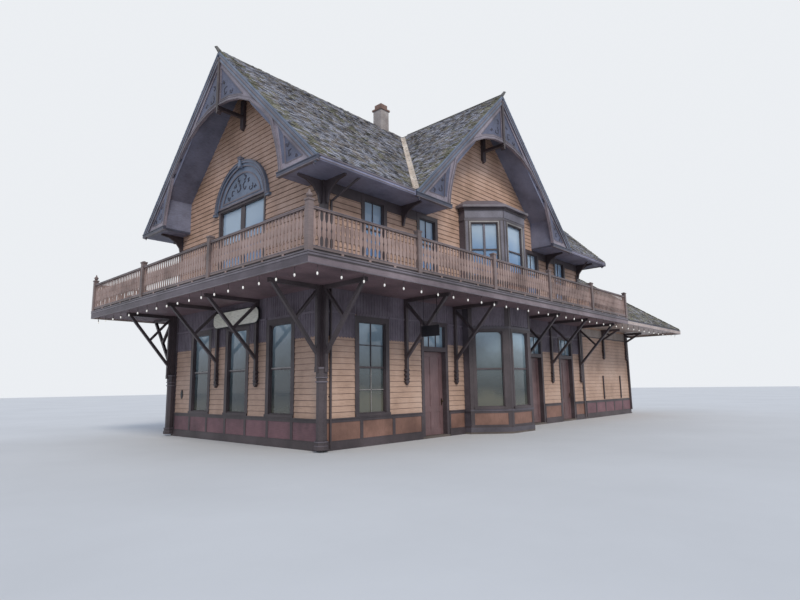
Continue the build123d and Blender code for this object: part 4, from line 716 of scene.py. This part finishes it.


# Balcony's edge: fascia boards, pale along the long sides and darker across the end, a dark band above
# them as painted shadow under the cap, then a wide moulded cap over the deck's edge with a dark band of
# painted shade in its groove, and a small bead at the foot.
fascia_paint = painted("painted_fascia", "c4b3aa", "b09f97", "8c7f78", rough=0.5, grain=(2, 2, 50))
side_fascia = painted("painted_fascia_side", "938487", "807275", "675a5e", grain=(2, 2, 50))
end_fascia = painted("painted_fascia_end", "665c63", "554c53", "413a40", rough=0.5, grain=(2, 2, 50))
dress(fascia_paint, "balcony_fascia")


# A block between two opposite corners.
def bar(bm, low, high, mat=0):
    (a, b, c), (d, e, f) = low, high
    block(bm, [(a, b, c), (d, b, c), (d, e, c), (a, e, c), (a, b, f), (d, b, f), (d, e, f), (a, e, f)], mat)


# A band round the balcony's three sides, out from the walls by so much.
def ring_band(bm, out, z0, z1, thick, mat=0):
    x0, y0 = -MAIN_END - out, MAIN_SIDE + out
    bar(bm, (x0, -y0, z0), (MAIN_END, -y0 + thick, z1), mat)
    bar(bm, (x0, y0 - thick, z0), (MAIN_END, y0, z1), mat)
    bar(bm, (x0, -y0 + thick, z0), (x0 + thick, y0 - thick, z1), mat)


def fascia_boards(bm):
    ring_band(bm, 2.1135, 4.02, 4.135, 0.012)
    # Dark band of painted shadow under the moulded cap.
    ring_band(bm, 2.113, 4.135, 4.175, 0.011, mat=2)
    bar(bm, (-9.5905, -6.0615, 4.021), (-9.5765, 6.0615, 4.174), 1)


def fascia_mould(bm):
    ring_band(bm, 2.129, 4.235, 4.26, 0.03)
    # Dark band of painted shade in the cap's groove.
    ring_band(bm, 2.117, 4.215, 4.235, 0.02, mat=1)
    ring_band(bm, 2.124, 4.175, 4.215, 0.03)
    ring_band(bm, 2.117, 4.0, 4.02, 0.02)


piece("fascia_boards", fascia_boards, [side_fascia, end_fascia, trim])
piece("fascia_mouldings", fascia_mould, [mould, trim])


# Soffit under the balcony: narrow planed boards nailed up side by side along each wall, with dark
# joints between them. Dull reddish paint.
soffit_paint = painted("painted_soffit", "866f74", "745e63", "5a494e", rough=0.6, grain=(4, 40, 40))
dress(soffit_paint, "balcony_floor")
SOFFIT_BOARD = 0.085


def soffit_boards(bm):
    for i in range(24):
        inner = 0.02 + i * SOFFIT_BOARD
        outer = inner + SOFFIT_BOARD - 0.006
        x0, y0, y1 = -MAIN_END - outer, MAIN_SIDE + inner, MAIN_SIDE + outer
        for side in (-1, 1):
            bar(bm, (x0, side * y0, CEILING), (MAIN_END, side * y1, 4.06))
        bar(bm, (x0, -y0, CEILING), (-MAIN_END - inner, y0, 4.06))


piece("soffit_boards", soffit_boards, [soffit_paint])


# Festoon lamps along the foot of the fascia: small bulbs of milk glass, faintly lit, each in a thin
# dark holder. They hang 0.65 m apart, as counted in the photograph.
milk = painted("lamp_glass", "efece6", "e6e3dc", "dcd9d2", rough=0.2)
milk.node_tree.nodes["Principled BSDF"].inputs["Emission Color"].default_value = tint("f2efe6")
milk.node_tree.nodes["Principled BSDF"].inputs["Emission Strength"].default_value = 0.3
LAMP_STEP = 0.65
lamp_spots = [(-9.525, -5.54 + LAMP_STEP * i) for i in range(18)]
lamp_spots += [(-9.3 + LAMP_STEP * i, -6.0) for i in range(37)]


def festoon(bm):
    for x, y in lamp_spots:
        drop = Matrix.Translation((x, y, 3.825)) @ Matrix.Diagonal((1, 1, 1.8, 1))
        bmesh.ops.create_uvsphere(bm, u_segments=10, v_segments=8, radius=0.021, matrix=drop)


def holders(bm):
    for x, y in lamp_spots:
        for half, low, high in ((0.011, 3.855, 3.905), (0.005, 3.905, 4.0)):
            bar(bm, (x - half, y - half, low), (x + half, y + half, high))


piece("festoon_lamps", festoon, [milk])
piece("festoon_holders", holders, [trim])


# Balcony deck: weathered boards laid square to the walls, with dark gaps to drain.
DECK_BOARD = 0.115


def deck_boards(bm):
    for i in range(int(2 * MAIN_END / DECK_BOARD)):
        x = -MAIN_END + i * DECK_BOARD
        for side in (-1, 1):
            beside_bay = side < 0 and x + DECK_BOARD > -1.7 and x < 1.7
            wall_end = 5.2 if beside_bay else 3.98
            bar(bm, (x, side * wall_end, 4.26), (x + DECK_BOARD - 0.008, side * 6.06, 4.272))
    for i in range(int(12.12 / DECK_BOARD)):
        y = -6.06 + i * DECK_BOARD
        bar(bm, (-9.58, y, 4.26), (-7.5, y + DECK_BOARD - 0.008, 4.272))


piece("deck_boards", deck_boards, [deck_wood])


# Balusters: flat boards sawn to a pattern, broad at mid height, cut back to long ovals above and below
# and a small diamond between. They replace the frame's plain ones, about 0.13 m apart between posts.
baluster_paint = painted("painted_balusters", "b1988f", "9d847a", "79635b", rough=0.55, grain=(40, 40, 4))
dress(baluster_paint, "end_balusters track_balusters rear_balusters")
SAWN_STEPS = 26
BALUSTER_HEIGHT = 0.78
side_fences = [Wall((0, y, 0), (1, 0, 0), (0, 1, 0)) for y in (-6.0, 6.0)]
end_fence = Wall((-9.525, 0, 0), (0, 1, 0), (1, 0, 0))
side_posts = [-9.525 + (7.41 + 9.525) * i / 5 for i in range(6)]
end_posts = [-6.0 + 12.0 * i / 3 for i in range(4)]

sawn_edge = []
for i in range(SAWN_STEPS + 1):
    t = i / SAWN_STEPS
    ovals = sum(max(0.0, 1 - ((t - at) / 0.15) ** 2) ** 0.5 for at in (0.15, 0.85))
    diamond = max(0.0, 1 - abs(t - 0.5) / 0.06)
    sawn_edge.append((0.051 - 0.033 * ovals - 0.014 * diamond, 4.38 + t * BALUSTER_HEIGHT))


def spans(posts):
    return [(a + 0.065, b - 0.065) for a, b in zip(posts, posts[1:])]


def baluster(bm, fence, u):
    rows = []
    for half, z in sawn_edge:
        rows.append([bm.verts.new(fence.at(u + side * half, z, -0.011)) for side in (-1, 1)])
    sawn = [bm.faces.new([low[0], high[0], high[1], low[1]]) for low, high in zip(rows, rows[1:])]
    thicken(bm, sawn, fence.n * 0.022)


def sawn_row(fence, posts):
    def build(bm):
        for a, b in spans(posts):
            count = round((b - a) / 0.13)
            for i in range(count):
                baluster(bm, fence, a + (b - a) / count * (i + 0.5))

    return build


for name, fence, posts in (
    ("track_balusters", side_fences[0], side_posts),
    ("rear_balusters", side_fences[1], side_posts),
    ("end_balusters", end_fence, end_posts),
):
    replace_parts(piece("sawn_" + name, sawn_row(fence, posts), [baluster_paint]), name)


# Rails: a thin lip under the handrail with a dark line of painted shade below it, a bead on the lower
# rail, and on the deck a dark strip between pale blocks, painted shade in the gap under the lower rail.
rail_paint = painted("painted_rails", "8c7a76", "776763", "5c4f4d", rough=0.5, grain=(2, 2, 50))
dress(rail_paint, "rails railing_posts")
# Each lip: half its thickness, foot, head and finish; the two in dark trim are painted shade.
RAIL_LIPS = ((0.042, 5.195, 5.21, 0), (0.04, 5.15, 5.16, 2), (0.04, 4.372, 4.384, 0), (0.012, 4.262, 4.32, 2))


def rail_lips(bm):
    for fence, posts in ((side_fences[0], side_posts), (side_fences[1], side_posts), (end_fence, end_posts)):
        for a, b in spans(posts):
            for half, low, high, mat in RAIL_LIPS:
                slab(bm, fence, a, b, low, high, -half, half, mat)
            count = round((b - a) / 0.8)
            for i in range(1, count):
                mid = a + (b - a) * i / count
                slab(bm, fence, mid - 0.035, mid + 0.035, 4.262, 4.32, -0.034, 0.034, 1)


piece("rail_lips", rail_lips, [mould, baluster_paint, trim])


# Roofs: split cedar shingles nailed in courses, of uneven width, thickness and tone. Dry wood is grey,
# brown where it wears, mossy where it stays damp, always rough. The specks are 20 mm, coarser than
# real grain so that they show.
def shingle(name, light, base, dark):
    worn = [(0.3, dark), (0.5, base), (0.68, light)]
    mat, tree, shader, place, patch = open_finish(name, 1.3, 0.9, worn)
    specks = node(tree, "ShaderNodeTexNoise", Vector=place, Scale=45.0, Detail=5.0).outputs["Fac"]
    work_in(tree, shader, patch, specks, [(0.35, "8d8a84"), (0.62, "ffffff")], 0.7, 0.4, 0.006)
    return mat


shingles = [
    shingle("weathered_shingle_grey", "bab9c1", "a0a0a8", "7b7b83"),
    shingle("weathered_shingle_brown", "a59d97", "8c847e", "68615b"),
    shingle("weathered_shingle_mossy", "9b9885", "817e69", "5f5c49"),
    shingle("weathered_shingle_dark", "6d6c71", "57565a", "3f3e42"),
]
MOSSY = 2
STEEP_TONES = (0, 0, 0, 1, 1, 3)
FREIGHT_TONES = (1, 1, 1, 0, 3)
EXPOSURE = 0.14
VALLEY_FOOT = 4.87
EAVE_HEIGHT = 7.05
dress(verge_paint, "main_roof cross_roof")
dress(shingles[3], "freight_roof")


# One slope: its eave's middle, the way it faces, its fall, its rise up the slope, its two ends at a
# distance up it, how often a shingle is mossy, and the tones of the others.
def shingle_slope(bm, eave, out, fall, rise, ends, mossy, tones, start=0.0):
    eave, out = Vector(eave), Vector(out)
    along = Vector((abs(out.y), abs(out.x), 0))
    level = 1 / math.hypot(1, fall)
    up = Vector((0, 0, fall * level)) - out * level
    proud = Vector((0, 0, level)) + out * (fall * level)
    for i in range(int(rise / EXPOSURE) + 1):
        v0, v1 = i * EXPOSURE, min((i + 1) * EXPOSURE + 0.03, rise)
        u, end = ends((v0 + v1) / 2)
        while u < end - 0.01:
            width = min(rng.uniform(0.07, 0.19), end - u)
            butt = max(v0 - rng.uniform(0, 0.022), start)
            thick = rng.uniform(0.014, 0.034)
            left, right = u, u + width - min(0.007, width / 4)
            lift = rng.choice((0.0, 0.0, 0.003, 0.008))
            lower = [eave + along * left + up * butt, eave + along * right + up * butt]
            upper = [eave + along * right + up * v1, eave + along * left + up * v1]
            base = [p + proud * 0.001 for p in lower + upper]
            tops = [p + proud * (thick + lift) for p in lower] + [p + proud * 0.006 for p in upper]
            tone = rng.choice(tones)
            if rng.random() < mossy(u):
                tone = MOSSY
            block(bm, base + tops, tone)
            u += width


# Moss gathers along the verges and thins out within a metre and a half.
def moss(u):
    edge = 8.455 if abs(u) > 4.95 else 4.93
    return max(0.08, 0.6 - (edge - abs(u)) / 1.2)


# Each steep slope is two stretches, from the verges to the valleys, which close in towards the ridge.
def steep_roof(verge, out):
    def build(bm):
        for side in (-1, 1):
            facing = Vector(out) * side
            for end in (-1, 1):
                def ends(v, end=end):
                    valley = VALLEY_FOOT - v * DIAGONAL
                    return (valley, verge) if end > 0 else (-verge, -valley)

                eave = facing * VALLEY_FOOT + Vector((0, 0, EAVE_HEIGHT))
                shingle_slope(bm, eave, facing, 1, VALLEY_FOOT / DIAGONAL, ends, moss, STEEP_TONES)

    return build


# The freight roof is hipped: its sides end in a hip, and its end slope closes from both sides.
def freight_shingles(bm):
    run, fall, foot = 6.06, 0.75, 4.2
    length = math.hypot(1, fall)

    def side_ends(v):
        return MAIN_END, 14.855 - v / length

    def hip_ends(v):
        return -run + 0.02 + v / length, run - 0.02 - v / length

    def damp(u):
        return 0.4

    for side in (-1, 1):
        eave = (0, side * run, foot)
        shingle_slope(bm, eave, (0, side, 0), fall, run * length, side_ends, damp, FREIGHT_TONES, 0.03)
    shingle_slope(bm, (14.872, 0, foot), (1, 0, 0), fall, run * length, hip_ends, damp, FREIGHT_TONES, 0.03)


piece("shingles_main", steep_roof(8.455, (0, 1, 0)), shingles)
piece("shingles_cross", steep_roof(4.93, (1, 0, 0)), shingles)
piece("shingles_freight", freight_shingles, shingles)


# Valley flashing: pale metal strips, dull and rusted in patches, laid where the crossed roofs meet.
valley_metal = painted("weathered_valley_metal", "d9cbbb", "c4b3a1", "8d7765", rough=0.45, grain=(3, 3, 8))


def valleys(bm):
    lift, thick = Vector((0, 0, 0.036)), Vector((0, 0, 0.008))
    for sx in (-1, 1):
        for sy in (-1, 1):
            top = Vector((sx * 0.15, sy * 0.15, 11.77)) + lift
            foot = Vector((sx * VALLEY_FOOT, sy * VALLEY_FOOT, EAVE_HEIGHT)) + lift
            for wing in (Vector((0, sy * 0.13, 0)), Vector((sx * 0.13, 0, 0))):
                base = [foot, foot + wing, top + wing, top]
                block(bm, base + [p + thick for p in base])


piece("valley_flashing", valleys, [valley_metal])


# Ridges: bare weathered boards, and a narrow strip of the same along the cross ridge.
ridge_wood = painted("weathered_ridge_boards", "8a8783", "74716d", "585551", rough=0.85, grain=(3, 3, 30))
dress(ridge_wood, "ridge_cap")


def ridge_strip(bm):
    for side in (-1, 1):
        bar(bm, (-0.035, side * 0.3, 11.93), (0.035, side * 4.9, 11.955))


piece("ridge_strip", ridge_strip, [ridge_wood])


# Bargeboards of the four gables: beads nailed along the arch, the verge and the roof's edge, frames
# round the sunk panels, and returns at the eaves. Mouse-grey paint with dark and blue-grey lines; on the
# verge the dark lines are painted shade in its grooves.
barge_paint = painted("painted_bargeboards", "a3989f", "90868e", "726970", rough=0.5, grain=(14, 14, 14))
field_paint = painted("painted_panel_fields", "666a80", "565a70", "434658", rough=0.5, grain=(10, 10, 10))
# Dark blue-grey paint of the eave returns, also laid as painted shade in grooves and under edges.
eave_dark_and_shade = painted("painted_eave_returns_and_shade_lines", "555868", "454857", "343641", rough=0.45, grain=(4, 4, 40))
dress(barge_paint, "bargeboards")
dress(trim, "king_posts")
gables = (near, far, track, rear)
ARCH = [
    (0.06, 10.08), (0.6, 10.026), (1.2, 9.862), (1.8, 9.56), (2.35, 9.1), (2.48, 8.97), (2.74, 8.71),
    (2.87, 8.56), (2.95, 8.3), (3.06, 8.0), (3.16, 7.7), (3.24, 7.4), (3.29, 7.1), (3.3, 6.89),
]
VERGE = [(0.06, 11.735), (4.88, 6.915)]
ROOF_EDGE = [(0.02, 11.8), (4.86, 6.96)]
CROWN_PANEL = [(0.13, 10.25), (0.6, 10.21), (1.15, 10.05), (1.4, 9.95), (0.13, 11.29)]
LEG_PANEL = [(3.56, 7.18), (4.26, 7.18), (3.47, 7.96), (3.53, 7.5)]
BESIDE_LEG = (
    [(3.43, 7.2), (3.555, 7.2), (3.525, 7.5), (3.38, 7.5)],
    [(3.38, 7.5), (3.525, 7.5), (3.465, 7.96), (3.27, 7.96)],
    [(3.27, 7.96), (3.465, 7.96), (3.19, 8.32)],
)
# Each bead: how far from its line, how wide, its back and front, and its finish.
ARCH_BEADS = ((0, 0.035, 0.952, 0.97, 0), (0.085, 0.025, 0.952, 0.962, 0))
# The dark beads 0.052 and 0.152 out from the verge line are painted shade in its grooves.
VERGE_BEADS = (
    (0, 0.05, 0.96, 0.978, 0), (0.125, 0.025, 0.96, 0.969, 0), (0.052, 0.022, 0.925, 0.961, 1),
    (0.074, 0.05, 0.925, 0.966, 2), (0.152, 0.018, 0.925, 0.945, 1), (0.17, 0.02, 0.925, 0.938, 0),
)
ROOF_BEADS = ((0, 0.022, 0.97, 0.984, 1), (0.022, 0.045, 0.97, 0.99, 2))
RETURNS = ((6.86, 6.886, 0.995, 0), (6.886, 6.965, 1.0, 1), (6.965, 6.99, 1.015, 1), (6.99, 7.012, 0.968, 1))


# The right or left half of an outline.
def handed(outline, sign):
    return [(sign * u, z) for u, z in outline]


def borders(bm):
    for wall in gables:
        for sign in (1, -1):
            for line, side, beads in (
                (ARCH, sign, ARCH_BEADS), (VERGE, -sign, VERGE_BEADS), (ROOF_EDGE, sign, ROOF_BEADS),
            ):
                for away, width, back, front, mat in beads:
                    strip(bm, wall, beside(handed(line, sign), side * away), width, back, front, side, mat)
            for low, high, proud, mat in RETURNS:
                slab(bm, wall, sign * 3.26, sign * 4.9, low, high, 0.9, proud, mat)
            for panel in (LEG_PANEL, CROWN_PANEL):
                edge = handed(panel, sign)
                for a, b in zip(edge, edge[1:] + edge[:1]):
                    strip(bm, wall, [a, b], 0.02, 0.93, 0.94, -sign)


# Bluish grounds of the sunk panels, running on up the legs outside them.
def fields(bm):
    for wall in gables:
        for sign in (1, -1):
            for panel in (LEG_PANEL, CROWN_PANEL):
                plate(bm, wall, handed(panel, sign), 0.905, 0.9165)
            for panel in BESIDE_LEG:
                plate(bm, wall, handed(panel, sign), 0.925, 0.9315)


def scrolls(bm):
    for wall in gables:
        for sign in (1, -1):
            for u, z, size, turn, way in (
                (0.42, 10.42, 0.16, 1.2, 1), (0.72, 10.32, 0.09, 0.4, -1), (0.3, 10.78, 0.09, 2.2, 1),
                (3.74, 7.4, 0.12, 1.2, 1), (3.6, 7.68, 0.07, 0.4, -1), (4.02, 7.28, 0.06, 2.2, 1),
            ):
                scroll(bm, wall, sign * u, z, size, turn, sign * way)


piece("barge_borders", borders, [mould, eave_dark_and_shade, verge_paint])
piece("barge_fields", fields, [field_paint])
piece("barge_scrolls", scrolls, [carved])


# Gable overhangs: boards that close the cheeks beside the arch up to the soffit, and the gap behind
# its cusps. Slate-blue paint, dull.
eave_paint = painted("painted_eave_boards", "8b8ea2", "7a7c8e", "606171", rough=0.6, grain=(4, 40, 40))
dress(eave_paint, "gable_soffits")


def cheeks(bm):
    behind_cusp = [(1.75, 9.52), (3.0, 8.27), (3.0, 8.62), (1.75, 9.87)]
    for wall in gables:
        for sign in (1, -1):
            slab(bm, wall, sign * 3.318, sign * 3.334, 6.885, 7.975, 0.0, 0.882)
            slab(bm, wall, sign * 3.3, sign * 3.318, 6.885, 6.95, 0.0, 0.9, 1)
            plate(bm, wall, handed(behind_cusp, sign), 0.866, 0.878)


piece("gable_cheeks", cheeks, [eave_paint, eave_dark_and_shade])


# Eaves of the long sides: boxed with boards, with a pale drip edge under the shingles and a small
# crown moulding. Braces and downspouts are painted with the trim.
box_paint = painted("painted_eave_boxes", "a0a0b8", "8c8ca2", "6f6e80", rough=0.6, grain=(4, 40, 40))
dress(box_paint, "boxed_eaves")
dress(trim, "eave_braces downspouts")


def drips(bm):
    for side in (-1, 1):
        for a, b in ((-8.4, -4.95), (4.95, 8.4)):
            bar(bm, (a, side * 4.9, 6.985), (b, side * 4.918, 7.03))
            bar(bm, (a, side * 4.9, 6.9), (b, side * 4.912, 6.93))


piece("eave_drips", drips, [mould])


# Chimney: courses of old brick laid in half bond, each brick slightly out of the shaft, under a clay
# cap. Fired clay is pale and rough, with joints 12 mm wide.
brick = painted("weathered_brick", "c6bdb6", "b0a69f", "8c817b", rough=0.85, grain=(30, 30, 30))
clay = painted("weathered_terracotta", "8f7468", "7b6156", "604a41", rough=0.8, grain=(10, 10, 10))
dress(brick, "chimney")
dress(clay, "chimney_cap")


def bricks(bm):
    x, half, length, height, joint = -1.28, 0.22, 0.215, 0.065, 0.012
    sides = (
        Wall((x, -half, 0), (1, 0, 0), (0, -1, 0)), Wall((x + half, 0, 0), (0, 1, 0), (1, 0, 0)),
        Wall((x, half, 0), (-1, 0, 0), (0, 1, 0)), Wall((x - half, 0, 0), (0, -1, 0), (-1, 0, 0)),
    )
    z = 11.78
    row = 0
    while z + height < 12.6:
        for wall in sides:
            u = -half - (row % 2) * length / 2
            while u < half:
                a, b = max(u, -half), min(u + length, half)
                if b - a > 0.03:
                    slab(bm, wall, a + joint / 2, b - joint / 2, z, z + height, 0, rng.uniform(0.004, 0.009))
                u += length
        z += height + joint
        row += 1


piece("chimney_bricks", bricks, [brick])


# Freight room: corner boards, a bare frieze board under the eave, a thin post at the track corner and
# two short posts on the wall.
frieze_board = painted("weathered_frieze_board", "b3a69c", "9f9289", "857970", rough=0.7, grain=(2, 2, 50))


def freight_trim(bm):
    for wall, u0, u1 in (
        (track, MAIN_END, FREIGHT_END), (rear, -FREIGHT_END, -MAIN_END), (freight_end, -MAIN_SIDE, MAIN_SIDE),
    ):
        slab(bm, wall, u0, u1, 3.66, FREIGHT_TOP, 0.018, 0.03, 1)
        slab(bm, wall, u0, u1, 3.62, 3.66, 0.018, 0.04)
    for wall, u0, u1 in (
        (track, 12.65, 12.787), (freight_end, -3.972, -3.835), (freight_end, 3.835, 3.972),
        (rear, -12.787, -12.65),
    ):
        slab(bm, wall, u0, u1, 0.77, CEILING, 0.0, 0.042)
    slab(bm, track, 12.67, 12.76, 0.2, FREIGHT_TOP, 0.03, 0.1)
    for u in (9.47, 11.52):
        slab(bm, track, u - 0.03, u + 0.03, 0.8, 1.88, 0.018, 0.07)


piece("freight_trim", freight_trim, [trim, frieze_board])


# Ends of the freight roof beside the main block: triangles of siding on a board, under a dark rake.
def roof_cheeks(bm):
    for side in (-1, 1):
        wall = Wall((7.5, 0, 0), (0, side, 0), (-1, 0, 0))
        plate(bm, wall, [(3.955, 4.13), (5.94, 4.13), (3.955, 5.615)], -0.02, -0.001)
        courses(bm, wall, (3.955, 6.0), 4.13, 5.55, (), lambda z: 11.44 - z / 0.75)
        strip(bm, wall, [(5.96, 4.125), (3.955, 5.628)], 0.11, 0, 0.023, 1, 2)


piece("roof_end_cheeks", roof_cheeks, [siding_high, lap_shade_high, trim])


# Freight eave: mossy caps nailed over the hips, a dark line of painted shadow under the shingles' edge,
# and a bead at the foot of the pale fascia.
dress(fascia_paint, "freight_eave")
HIP_CAPS = 30


def freight_caps(bm):
    for side in (-1, 1):
        wide, lift = Vector((0.07, side * -0.07, 0)), Vector((0, 0, 0.02))
        for i in range(HIP_CAPS):
            low, high = [
                Vector((14.79 - 6.0 * t, side * (6.0 - 6.0 * t), 4.245 + 4.5 * t))
                for t in (i / HIP_CAPS, (i + 1) / HIP_CAPS - 0.004)
            ]
            base = [low - wide, low + wide, high + wide, high - wide]
            block(bm, base + [p + lift for p in base])


def freight_line(bm):
    x1, y1 = 14.874, 6.063
    # The upper, dark line is painted shadow under the shingles' edge; the lower one is a bead.
    for low, high, mat in ((4.152, 4.172, 1), (4.002, 4.02, 0)):
        for side in (-1, 1):
            bar(bm, (7.48, side * (y1 - 0.03), low), (x1, side * y1, high), mat)
        bar(bm, (x1 - 0.03, -y1 + 0.03, low), (x1, y1 - 0.03, high), mat)


piece("freight_hip_caps", freight_caps, [shingles[MOSSY]])
piece("freight_eave_lines", freight_line, [mould, eave_dark_and_shade])


# Boards without lettering: a rounded name board and an oval plate on the end wall, and a board hung
# from the soffit by the near door. Black paint with a cream field, slightly glossy.
black = painted("painted_black", "26242a", "1d1b20", "141317", rough=0.45, grain=(10, 10, 10))
cream = painted("painted_sign_white", "f8f4e4", "f0ecdb", "dad5c2", rough=0.55, grain=(3, 3, 30))


# Outline of a board with rounded corners.
def rounded(a, b, z0, z1, radius):
    left, right, low, high = a + radius, b - radius, z0 + radius, z1 - radius
    line = []
    for corner, (u, z) in enumerate(((right, low), (right, high), (left, high), (left, low))):
        for i in range(5):
            turn = math.pi / 2 * (corner - 1 + i / 4)
            line.append((u + radius * math.cos(turn), z + radius * math.sin(turn)))
    return line


def sign_boards(bm):
    plate(bm, near, rounded(-1.23, 1.3, 3.36, 3.86, 0.2), 0.112, 0.14)
    plate(bm, near, rounded(-1.2, 1.27, 3.39, 3.83, 0.18), 0.135, 0.15, 1)
    hung = Wall((-4.48, -3.95, 0), (0, -1, 0), (-1, 0, 0))
    slab(bm, hung, 0.7, 1.34, 2.89, 3.19, -0.012, 0.012)
    for u in (0.78, 1.26):
        slab(bm, hung, u - 0.005, u + 0.005, 3.19, CEILING, -0.005, 0.005)
    turns = [i * math.pi / 8 for i in range(16)]
    plate(bm, near, [(-3.37 + 0.075 * math.cos(t), 1.37 + 0.15 * math.sin(t)) for t in turns], 0.02, 0.032)


piece("sign_boards", sign_boards, [black, cream])


# Camera where the photographer stood, at eye height, turned by the angles solved from the photograph.
eye = bpy.data.cameras.new("eye")
eye.lens = 24.48
eye.sensor_width = 36
eye.clip_end = 500
stand = Matrix.Translation((-16.129, -14.532, 1.544))
for turn, axis in ((42.552 - 90, "Z"), (8.971 + 90, "X"), (-0.8555, "Z")):
    stand = stand @ Matrix.Rotation(math.radians(turn), 4, axis)
viewer = put("eye", eye)
viewer.matrix_world = stand
bpy.context.scene.camera = viewer


# Plain pale floor.
ground = bpy.data.meshes.new("floor")
bm = bmesh.new()
bmesh.ops.create_grid(bm, x_segments=1, y_segments=1, size=150)
bm.to_mesh(ground)
bm.free()
ground.materials.append(open_finish("studio_floor", 0.2, 0.9, [(0.3, "c9c8c5"), (0.7, "d2d1ce")])[0])
put("floor", ground)


# Soft light: an even sky, bluish on the object and near white where the camera, gloss or glass see it,
# and a wide warm sun.
world = bpy.data.worlds.new("studio")
bpy.context.scene.world = world
world.use_nodes = True
tree = world.node_tree
back = tree.nodes["Background"]
rays = node(tree, "ShaderNodeLightPath").outputs
seen = rays["Is Camera Ray"]
for kind in ("Is Glossy Ray", "Is Transmission Ray"):
    seen = node(tree, "ShaderNodeMath", {"operation": "MAXIMUM"}, _0=seen, _1=rays[kind]).outputs[0]
level = node(tree, "ShaderNodeMapRange", Value=seen, To_Min=0.84, To_Max=0.95)
sky = node(tree, "ShaderNodeMixRGB", Fac=seen, Color1=tint("cddcf7"), Color2=tint("f1f4f8"))
tree.links.new(sky.outputs[0], back.inputs["Color"])
tree.links.new(level.outputs[0], back.inputs["Strength"])

lamp = bpy.data.lights.new("sun", "SUN")
lamp.energy = 1.75
lamp.angle = math.radians(18)
lamp.color = (1.0, 0.97, 0.92)
put("sun", lamp).rotation_euler = (math.radians(51), 0, math.radians(-28))

bpy.context.scene.view_settings.view_transform = "Standard"
